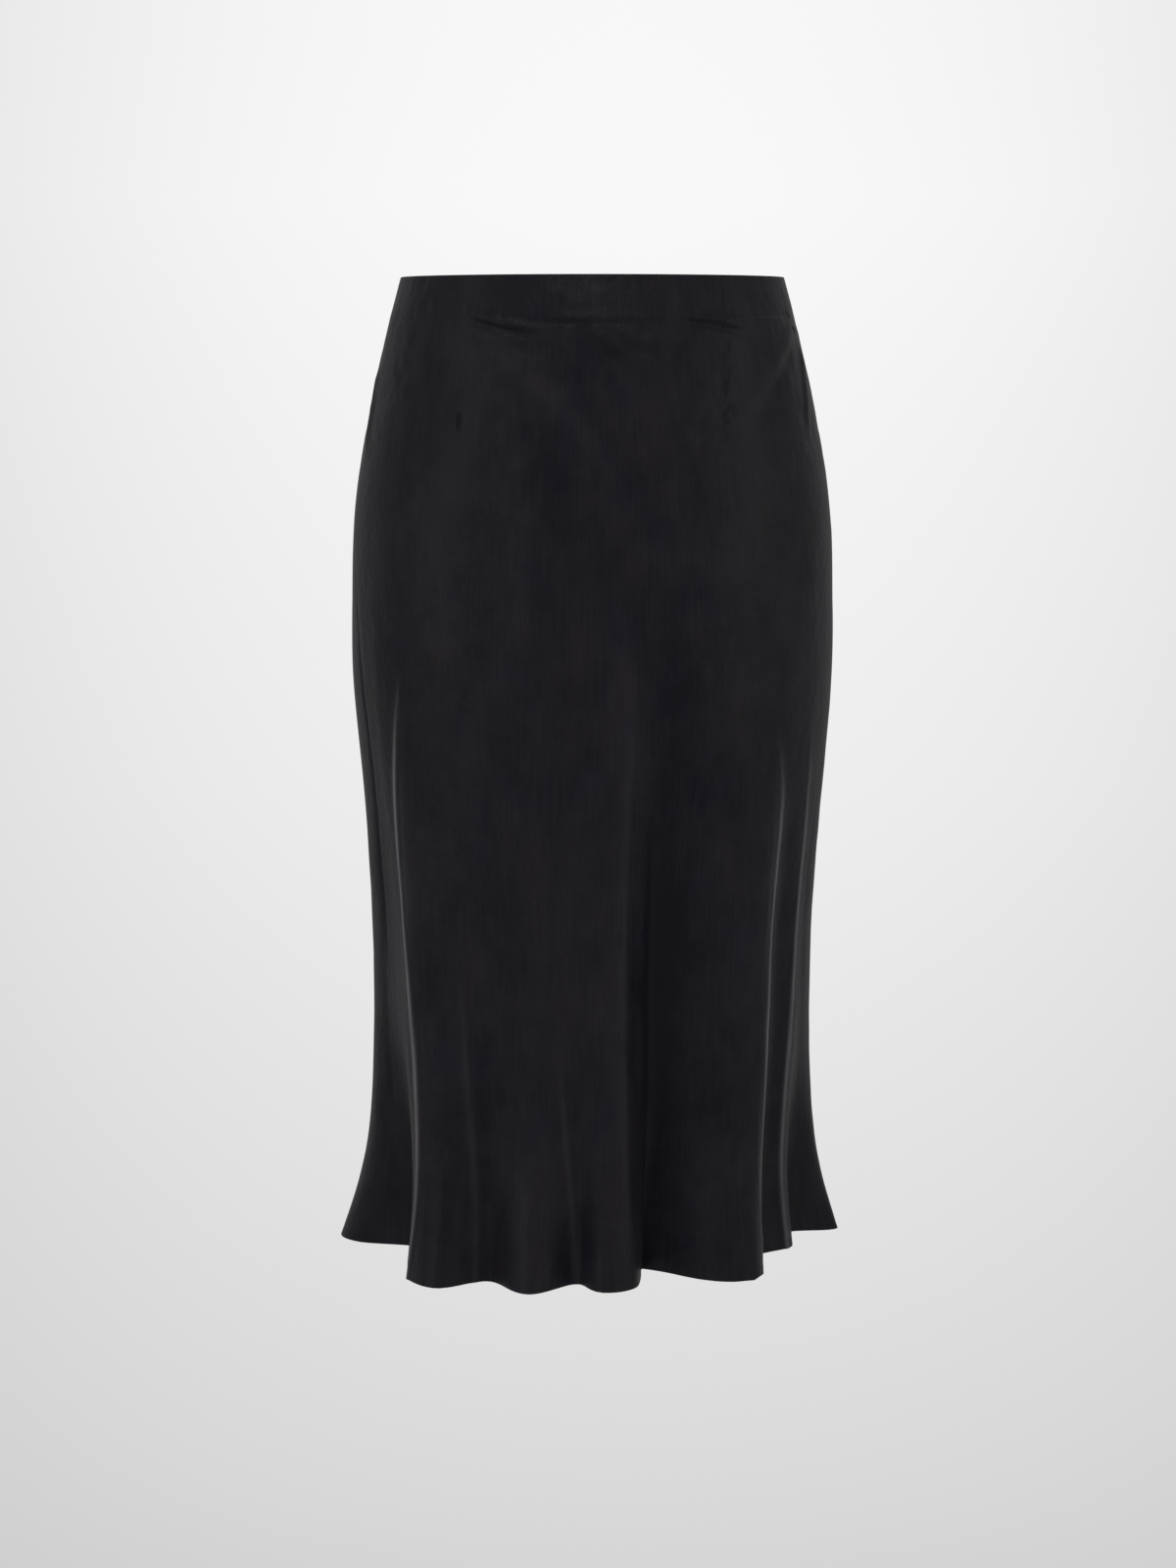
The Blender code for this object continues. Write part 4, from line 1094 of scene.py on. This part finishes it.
def run_of(angles, drop):
    """Metres along the cloth's ring at a drop, from the first angle to each."""
    ring = cloth(angles, np.full_like(angles, drop))
    return np.concatenate([[0], np.cumsum(np.linalg.norm(np.diff(ring, axis=0), axis=1))])


def stitches_round(drop):
    """Paths of a stitch line all round the skirt, each a low arch over the cloth."""
    fine = np.linspace(0, whole_turn, 4001)
    run = run_of(fine, drop)
    count = int(run[-1] / (STITCH + STITCH_GAP))
    at = (np.arange(count)[:, None] + np.linspace(0, STITCH / (STITCH + STITCH_GAP), 6)) * run[-1] / count
    angle = np.interp(at, run, fine)
    points, _, _, outward, _ = frame_on(cloth, angle, np.full_like(angle, drop))
    arch = THREAD_RADIUS * (1.6 * np.sin(np.linspace(0, math.pi, 6)) - 1.1)[None, :, None]
    return points + arch * outward, outward


hem_stitches = tubes("hem_stitches", *stitches_round(HEM_LINE), THREAD_RADIUS, 5, (thread,))

# %% The side seams' threads
SEAM_THREAD, SEAM_THREAD_DEPTH = 0.00030, 0.00085  # its radius, and how deep its middle lies between the turnings
SEAM_STITCH, SEAM_SWING = 0.0025, 0.00006


def seam_threads():
    """One thread down each side seam, from the waist or the zip's end to the hem, between the two turnings."""
    share = np.linspace(0, 1, 500)
    tops = np.array([[0.0035], [ZIP_END - 0.004]])
    drop = tops + (LENGTH - 0.0015 - tops) * share
    angle = np.array([[-seam], [seam]]) + 0 * drop
    points, across, _, outward, _ = frame_on(cloth, angle, drop)
    swing = SEAM_SWING * np.sin(drop * 2 * math.pi / SEAM_STITCH)
    return points - SEAM_THREAD_DEPTH * outward + swing[..., None] * across, outward


seam_stitches = tubes("side_seam_stitches", *seam_threads(), SEAM_THREAD, 6, (thread,))

# %% Overlocking
OVERLOCK_STITCH, OVERLOCK_THREAD = 0.0019, 0.00011
OVERLOCK_DROP, OVERLOCK_DEPTH = 0.0018, 0.00030  # how far the loops reach up or down, and in or out


def overlock(piece_name, first, last):
    """A thread that loops round the facing's cut edge: depth and drop swing once a stitch."""
    fine = np.linspace(first, last, 4001)
    run = run_of(fine, FACING_DEPTH)
    count = int(run[-1] / OVERLOCK_STITCH)
    turn = np.linspace(0, 2 * math.pi * count, 10 * count + 1)
    angle = np.interp(turn / turn[-1] * run[-1], run, fine)
    drop = FACING_DEPTH - 0.0016 + OVERLOCK_DROP * np.sin(turn)
    points, _, _, outward, _ = frame_on(cloth, angle, drop)
    depth = FACING_FACE - 0.0002 + OVERLOCK_DEPTH * np.cos(turn)
    path = points - depth[:, None] * outward
    return tubes(piece_name, path[None], outward[None], OVERLOCK_THREAD, 4, (thread,))


clear = ZIP_CLEAR / METRES_PER_RADIAN * 1.15
front_overlock = overlock("front_facing_overlock", -seam + 0.003, seam - clear)
back_overlock = overlock("back_facing_overlock", seam + clear, whole_turn - seam - 0.003)

# %% [markdown]
# ## The concealed zip
#
# It lies behind the wearer's left seam: two woven tapes, a nylon coil on each, and a slider. From outside only
# the slider's outer plate, its cheeks and the pull tab show. The tape is the same wall as the cloth with a twill
# finish. The coils are one bent thread each, so they are tubes along a flattened helix, half a turn apart so
# that they mesh.

# %% Tapes
TAPE_PARTING, TAPE_WIDTH, TAPE_WALL = 0.0012, 0.0110, 0.00055
TAPE_DEPTH = FACING_LAYER + 0.00015
TAPE_TOP = 0.0090
SELVEDGE, SELVEDGE_RISE = 0.9, 0.00012  # where the tape is woven double, as a share of its width, and how much higher


def twill(name):
    """Woven polyester tape: diagonal ribs over a fine upright rib, matt."""
    uniform = {"Base Color": (0.0125, 0.012, 0.0135, 1), "Specular IOR Level": 0.2, "Sheen Weight": 0.05}
    material, shader, start = new_material(name, uniform)
    place = start.node("ShaderNodeUVMap", {"uv_map": "cloth"})
    slant = start.node("ShaderNodeVectorRotate", {"rotation_type": "Z_AXIS"}, {"Vector": place, "Angle": 0.6})
    waves = {"Vector": slant, "Scale": 620.0, "Distortion": 0.6}
    ribs = start.node("ShaderNodeTexWave", {"wave_type": "BANDS", "bands_direction": "X"}, waves, 1)
    grain = place.noise((0.0006, 0.002, 1), 2, 0.6)
    feed(0.72 + grain * 0.2, shader, "Roughness")
    feed(start.bump(ribs * 0.00006 + grain * 0.00005), shader, "Normal")
    return material


def tape(name, side):
    """A strip beside the zip's seam, a little higher along its far edge, where it is woven double."""
    rows = turned(np.arange(TAPE_TOP, ZIP_END + 0.0001, 0.0036), None, None)
    places = np.sort(side * (TAPE_PARTING + np.linspace(0, 1, 12) * TAPE_WIDTH))
    flat = 0 * places
    selvedge = abs(places) > TAPE_PARTING + SELVEDGE * TAPE_WIDTH
    columns = Profile(places, -SELVEDGE_RISE * selvedge, flat, flat + 1)
    angle = np.full((len(rows.place), len(places)), seam)
    return wall_piece(name, angle, rows, columns, TAPE_DEPTH, TAPE_WALL, (tape_twill, tape_twill))


tape_twill = twill("tape_twill")
tape_front = tape("zip_tape_front_cloth", -1)
tape_back = tape("zip_tape_back_cloth", 1)
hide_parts("zip_tape_front")
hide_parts("zip_tape_back")

# %% Coil
COIL_LAYER, COIL_HALF_WIDTH, COIL_WALL = 0.0027, 0.0020, 0.0012
COIL_PITCH, COIL_THREAD = 0.00125, 0.00031
COIL_TOP = 0.0133
COIL_MESH = 0.0005  # each coil reaches this far past the middle, into the other


def coil_path(side):
    """A flattened helix down the seam: aside = middle + a cos t, depth = middle + b sin t, drop by the pitch."""
    count = int((ZIP_END - 0.001 - COIL_TOP) / COIL_PITCH)
    turn = np.linspace(0, 2 * math.pi * count, 12 * count + 1)
    drop = COIL_TOP + (turn / (2 * math.pi) + (0.5 if side > 0 else 0)) * COIL_PITCH
    points, across, _, outward, _ = frame_on(cloth, np.full_like(drop, seam), drop)
    reach = (COIL_HALF_WIDTH + COIL_MESH) / 2 - COIL_THREAD
    aside = side * (COIL_HALF_WIDTH - COIL_MESH) / 2 + side * reach * np.cos(turn)
    depth = COIL_LAYER + COIL_WALL / 2 + (COIL_WALL / 2 - COIL_THREAD) * np.sin(turn)
    return points + aside[:, None] * across - depth[:, None] * outward, outward


nylon, nylon_shader, start = new_material("nylon", {"Base Color": (0.012, 0.012, 0.013, 1)})
place = start.node("ShaderNodeTexCoord", output=3)
feed(0.34 + place.noise((1 / 900,) * 3, 2, 0.5) * 0.15, nylon_shader, "Roughness")
paths, normals = (np.stack(both) for both in zip(coil_path(-1), coil_path(1)))
coil = tubes("zip_coil_turns", paths, normals, COIL_THREAD, 6, (nylon,))
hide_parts("zip_coil")

# %% [markdown]
# ### Slider and pull tab
#
# Both are die cast and enamelled, so nothing on them has a sharp edge. Each part is a loft: a superellipse,
# which is a rectangle with soft corners, carried along one axis while its size follows a small table. The tab
# hangs from a pin between two cheeks, and swings out on it.


# %% Lofts
def superellipse(sides, power):
    """x = |cos t|^power and y = |sin t|^power with their signs: a circle at 1, nearly a square near 0."""
    turn = np.linspace(0, 2 * math.pi, sides, endpoint=False) + math.pi / sides
    x, y = np.cos(turn), np.sin(turn)
    return np.sign(x) * abs(x) ** power, np.sign(y) * abs(y) ** power


def loft(stations, sides=20, power=0.35):
    """Rings whose middle, half width and half height are read from a table of stations along Z.

    Each station is (z, x middle, y middle, half width, half height). Returns the points and the faces.
    """
    z, x_mid, y_mid, half_x, half_y = np.array(stations).T
    x, y = superellipse(sides, power)
    rings = np.stack([x_mid[:, None] + half_x[:, None] * x, y_mid[:, None] + half_y[:, None] * y], -1)
    points = np.concatenate([rings, np.broadcast_to(z[:, None, None], (len(z), sides, 1))], -1)
    return points.reshape(-1, 3), ring_faces(len(z), sides)


def ring_faces(count, sides):
    """Quads between rings that follow each other upwards, and a face over each end."""
    number = np.arange(count * sides).reshape(count, sides)
    return tube_quads(number).tolist() + [number[0, ::-1].tolist(), number[-1].tolist()]


def block(x, y, z, edge=0.00022, power=0.3):
    """A box between two values along each axis, with soft edges: its ends draw in over the edge's radius."""
    middle = [(low + high) / 2 for low, high in (x, y)]
    half = [(high - low) / 2 for low, high in (x, y)]
    turn = np.linspace(0, math.pi / 2, 4)
    inset = edge * (1 - np.sin(turn))
    ends = np.concatenate([z[0] + edge * (1 - np.cos(turn)), (z[1] - edge * (1 - np.cos(turn)))[::-1]])
    inset = np.concatenate([inset, inset[::-1]])
    return loft([(end, *middle, half[0] - cut, half[1] - cut) for end, cut in zip(ends, inset)], power=power)


def turned_about_x(profile, sides=28):
    """A closed profile of (radius, x) pairs, carried once round the X axis."""
    radius, x = np.array(profile).T
    turn = np.linspace(0, 2 * math.pi, sides, endpoint=False)[:, None]
    points = np.stack([x + 0 * turn, radius * np.cos(turn), radius * np.sin(turn)], -1)
    number = np.arange(points[..., 0].size).reshape(sides, len(profile))
    right, up = np.roll(number, -1, axis=1), np.roll(number, -1, axis=0)
    faces = np.stack([number, right, np.roll(right, -1, axis=0), up], -1)
    return points.reshape(-1, 3), faces.reshape(-1, 4).tolist()


def joined(parts):
    """Points and faces of several parts as one mesh."""
    points, faces, first = [], [], 0
    for part_points, part_faces in parts:
        points.append(part_points)
        faces += [[first + corner for corner in face] for face in part_faces]
        first += len(part_points)
    return np.concatenate(points), faces


print("a block has", len(block((0, 1), (0, 1), (0, 1))[0]), "points")

# %% Slider and tab
SLIDER_DROP = 0.0085
PIN_HEIGHT = 0.0022  # the pin's middle, out from the cloth


def at_slider(points, height):
    """From the slider's axes (X along its pin, Y out from the cloth, Z up) to the skirt's."""
    angle, drop = np.array([seam]), np.array([SLIDER_DROP])
    origin, _, down, outward, _ = (found[0] for found in frame_on(tube, angle, drop))
    pin = np.cross(outward, -down)
    return origin + height * outward + points @ np.array([pin, outward, -down])


def enamel():
    """Black enamel on cast metal: glossy, with a fine orange-peel and duller worn patches."""
    material, shader, start = new_material("enamel", {"Metallic": 0.55, "Coat Weight": 0.4})
    place = start.node("ShaderNodeTexCoord", output=3)
    spots = place.noise((1 / 700,) * 3) + 0.5
    # the enamel's worn patches, paler and duller
    rubbed_and_painted_highlight = start.node("ShaderNodeValToRGB", {"stops": [(0.35, 0.0), (0.75, 1.0)]}, {"Fac": spots})
    feed(start.mix(rubbed_and_painted_highlight, (0.010, 0.010, 0.011), (0.022, 0.021, 0.022)), shader, "Base Color")
    feed(0.22 + rubbed_and_painted_highlight * 0.18, shader, "Roughness")
    feed(start.bump(place.noise((1 / 2500,) * 3, 1, 0.5) * 0.00002, 0.5), shader, "Normal")
    return material


cast = enamel()
BODY_Y = -0.00355  # the middle of the slider's body, behind the cloth
BODY_STATIONS = [(-0.0045, 0.0015, 0.0006), (-0.0042, 0.0018, 0.00085), (0.0005, 0.0020, 0.00085)]
BODY_STATIONS += [(0.0030, 0.0024, 0.00085), (0.0042, 0.0023, 0.00083), (0.0045, 0.0020, 0.0006)]
pin_points, pin_faces = turned_about_x([(0.00002, -0.0017), (0.0004, -0.0016), (0.0004, 0.0016), (0.00002, 0.0017)])
slider_parts = [
    loft([(z, 0, BODY_Y, wide, thick) for z, wide, thick in BODY_STATIONS]),
    block((-0.0006, 0.0006), (-0.0036, 0.0006), (-0.0006, 0.0027)),  # the bridge, out through the seam
    block((-0.0021, 0.0021), (0.0003, 0.0008), (-0.0030, 0.0030), 0.00016),  # the plate outside the cloth
    block((0.0013, 0.0021), (0.0005, 0.0030), (-0.0012, 0.0012), 0.0002),  # the two cheeks that hold the pin
    block((-0.0021, -0.0013), (0.0005, 0.0030), (-0.0012, 0.0012), 0.0002),
    (pin_points + (0, PIN_HEIGHT, 0), pin_faces),
]
points, faces = joined(slider_parts)
slider = new_piece("zip_slider_metal", at_slider(points, 0), faces, None, None, (cast,))
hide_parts("zip_slider")

# (distance along it, half width, half thickness), from the free end to the eye
TAB_STATIONS = [(-0.0170, 0.0004, 0.00016), (-0.01692, 0.0008, 0.00026), (-0.0166, 0.00128, 0.00036)]
TAB_STATIONS += [(-0.0160, 0.00184, 0.0004), (-0.0153, 0.00218, 0.0004), (-0.0146, 0.00229, 0.0004)]
TAB_STATIONS += [(-0.0110, 0.00193, 0.0004), (-0.0060, 0.00132, 0.0004), (-0.0030, 0.00095, 0.0004)]
TAB_STATIONS += [(-0.0022, 0.00088, 0.0004), (-0.0010, 0.00086, 0.00038)]
plate = loft([(z, 0, -0.0006, wide, thick) for z, wide, thick in TAB_STATIONS], power=0.55)
EYE = [(0.0007, -0.00085), (0.0008, -0.00097), (0.0010, -0.00097), (0.0011, -0.00085)]
EYE += [(0.0011, 0.00085), (0.0010, 0.00097), (0.0008, 0.00097), (0.0007, 0.00085)]
eye = turned_about_x(EYE)
points, faces = joined([plate, eye])
pull_tab = new_piece("pull_tab_metal", at_slider(points, PIN_HEIGHT), faces, None, None, (cast,))
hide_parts("zip_pull_tab")
print("slider and tab:", len(slider.data.vertices) + len(pull_tab.data.vertices), "points")

# %% [markdown]
# ## The studio
#
# The backdrop is one pale sweep: a floor that curves up into a wall, so that no line shows behind the skirt.
# It glows by itself, brightest high behind the skirt and dimmer towards the floor and the sides, as paper does
# under its own lamps. Shading it with more lamps would work too, but they would also spill onto the satin. A wide
# bowl of the same paper stands round it, so that the skirt can be walked round. The bowl is only looked at, and
# lights nothing.

# %% Backdrop
FLOOR, WALL_Y, SWEEP_RADIUS, REACH = -1.35, 2.6, 1.6, 6.0
GLOW = [(-3.0, 0.60), (-0.1, 0.655), (0.42, 0.715), (0.82, 0.762), (1.18, 0.806), (1.52, 0.85), (2.15, 0.905)]
GLOW += [(2.45, 0.935), (2.74, 0.925), (4.0, 0.90)]
GLOW_FIRST, GLOW_LAST = GLOW[0][0], GLOW[-1][0]  # the table's ends, in metres along the paper's profile
GLOW_MIDDLE, GLOW_LEAST = 0.05, 0.66  # where it is brightest from side to side, and its least share
GLOW_FADE = 0.14  # the share lost a metre aside, which grows with the square
BOWL_RADIUS, BOWL_TOP = 9.0, 7.0


def sweep():
    """A profile in y and z, flat, then a quarter circle, then upright, carried along x.

    Its UV map holds x and the length along the profile from where the floor starts to rise.
    """
    turn = np.linspace(0, math.pi / 2, 40)
    y = np.concatenate([[-REACH], WALL_Y - SWEEP_RADIUS * (1 - np.sin(turn)), [WALL_Y]])
    z = np.concatenate([[FLOOR], FLOOR + SWEEP_RADIUS * (1 - np.cos(turn)), [REACH]])
    run = np.concatenate([[-REACH - y[1]], SWEEP_RADIUS * turn, [SWEEP_RADIUS * math.pi / 2 + REACH - z[-2]]])
    x = np.linspace(-REACH, REACH, 13)
    points = np.stack([np.repeat(x, len(y)), np.tile(y, len(x)), np.tile(z, len(x))], -1)
    uv = np.stack([points[:, 0], np.tile(run, len(x))], -1)
    return points, grid_quads(np.arange(len(points)).reshape(len(x), len(y))), uv


def bowl(radius, top):
    """A floor, a quarter circle and a wall as pairs of (distance, height), carried once round the Z axis.

    Its UV map is one spot of the paper, so that it glows evenly.
    """
    turn = np.linspace(0, math.pi / 2, 24)
    away = np.concatenate([[0.01], radius - SWEEP_RADIUS * (1 - np.sin(turn)), [radius, radius * 0.7, 0.01]])
    high = np.concatenate([[0], SWEEP_RADIUS * (1 - np.cos(turn)), [top - 1, top, top + 0.4]]) + FLOOR - 0.01
    angle = np.linspace(0, whole_turn, 96, endpoint=False)[:, None]
    points = np.stack([away * np.cos(angle), away * np.sin(angle), high + 0 * angle], -1)
    number = np.arange(points[..., 0].size).reshape(points.shape[:2])
    uv = np.full((points[..., 0].size, 2), (4.0, GLOW_FIRST))
    return points.reshape(-1, 3), tube_quads(number.T)[:, ::-1], uv


paper, paper_shader, start = new_material("paper", {"Base Color": (0.02, 0.02, 0.02, 1), "Roughness": 0.9})
paper_shader.inputs["Specular IOR Level"].default_value = 0.0
paper_shader.inputs["Emission Strength"].default_value = 1.0
place = start.node("ShaderNodeUVMap", {"uv_map": "cloth"})
aside = start.node("ShaderNodeSeparateXYZ", {}, {"Vector": place})
along = start.node("ShaderNodeSeparateXYZ", {}, {"Vector": place}, 1)
share = (along - GLOW_FIRST) * (1 / (GLOW_LAST - GLOW_FIRST))
stops = [((run - GLOW_FIRST) / (GLOW_LAST - GLOW_FIRST), glow) for run, glow in GLOW]
bright = start.node("ShaderNodeValToRGB", {"stops": stops}, {"Fac": share})
off = aside - GLOW_MIDDLE
faded = 1 - GLOW_FADE * (off * off)
feed(bright * faded.maths("SMOOTH_MAX", faded, GLOW_LEAST, 0.2), paper_shader, "Emission Color")
backdrop = new_piece("backdrop", *sweep(), materials=(paper,))
backdrop.visible_glossy = False
surround = new_piece("surround", *bowl(BOWL_RADIUS, BOWL_TOP), materials=(paper,))
surround.visible_glossy = surround.visible_diffuse = surround.visible_shadow = surround.visible_transmission = False
print("stage:", len(backdrop.data.polygons) + len(surround.data.polygons), "faces")

# %% [markdown]
# ## The lamps
#
# A wide soft box stands on each side of the camera and a smaller one above it, so every fold's edge catches one of
# them. Two tall, weak boxes behind the skirt lift its outline off the paper. The light of the room is even and
# low, so the cloth that faces the camera stays black.

# %% Lights
Lamp = namedtuple("Lamp", "name place target width height power")
LAMPS = [
    Lamp("left box", (-1.35, 1.05, -0.2), (0, 0, -0.40), 0.5, 2.0, 0.45),
    Lamp("right box", (1.35, 1.05, -0.2), (0, 0, -0.40), 0.5, 2.0, 0.45),
    Lamp("left fill", (-2.3, -1.7, 0.4), (0, 0, -0.35), 1.8, 1.8, 9),
    Lamp("right fill", (2.6, -1.2, 0.4), (0, 0, -0.35), 1.8, 1.8, 8),
    Lamp("top fill", (-0.3, -1.9, 2.2), (0, 0, -0.25), 1.2, 0.8, 20),
]
ROOM_GREY, ROOM_STRENGTH = 0.5, 0.60


def soft_box(name, place, target, width, height, power):
    """A rectangular area light that faces a point."""
    light = bpy.data.lights.new(name, "AREA")
    light.shape, light.size, light.size_y, light.energy = "RECTANGLE", width, height, power
    made = bpy.data.objects.new(name, light)
    made.location = place
    away = np.array(target) - np.array(place)
    level = math.hypot(away[0], away[1])
    made.rotation_euler = (math.pi / 2 + math.atan2(away[2], level), 0, math.atan2(-away[0], away[1]))
    made.visible_camera = False
    bpy.context.scene.collection.objects.link(made)


for lamp in LAMPS:
    soft_box(*lamp)

world = bpy.data.worlds.new("room")
world.use_nodes = True
world.node_tree.nodes["Background"].inputs["Color"].default_value = (ROOM_GREY,) * 3 + (1,)
world.node_tree.nodes["Background"].inputs["Strength"].default_value = ROOM_STRENGTH
bpy.context.scene.world = world
bpy.context.scene.view_settings.view_transform = "Standard"
print(len(LAMPS), "lamps of", sum(lamp.power for lamp in LAMPS), "W in all")

# %% [markdown]
# ## The last step
#
# The pieces are tied to the bodies of the frame.

# %% Finish
slots = {
    "satin": (front, back, hem_stitches, seam_stitches),
    "facing": (front_facing, back_facing, front_overlock, back_overlock),
    "zip_tape": (tape_front, tape_back),
    "zip_coil": (coil,),
    "zip_metal": (slider, pull_tab),
}
for slot, members in slots.items():
    for piece in members:
        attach(piece, "pull_tab" if piece is pull_tab else "skirt")
print(sum(len(members) for members in slots.values()), "pieces in", len(slots), "slots")
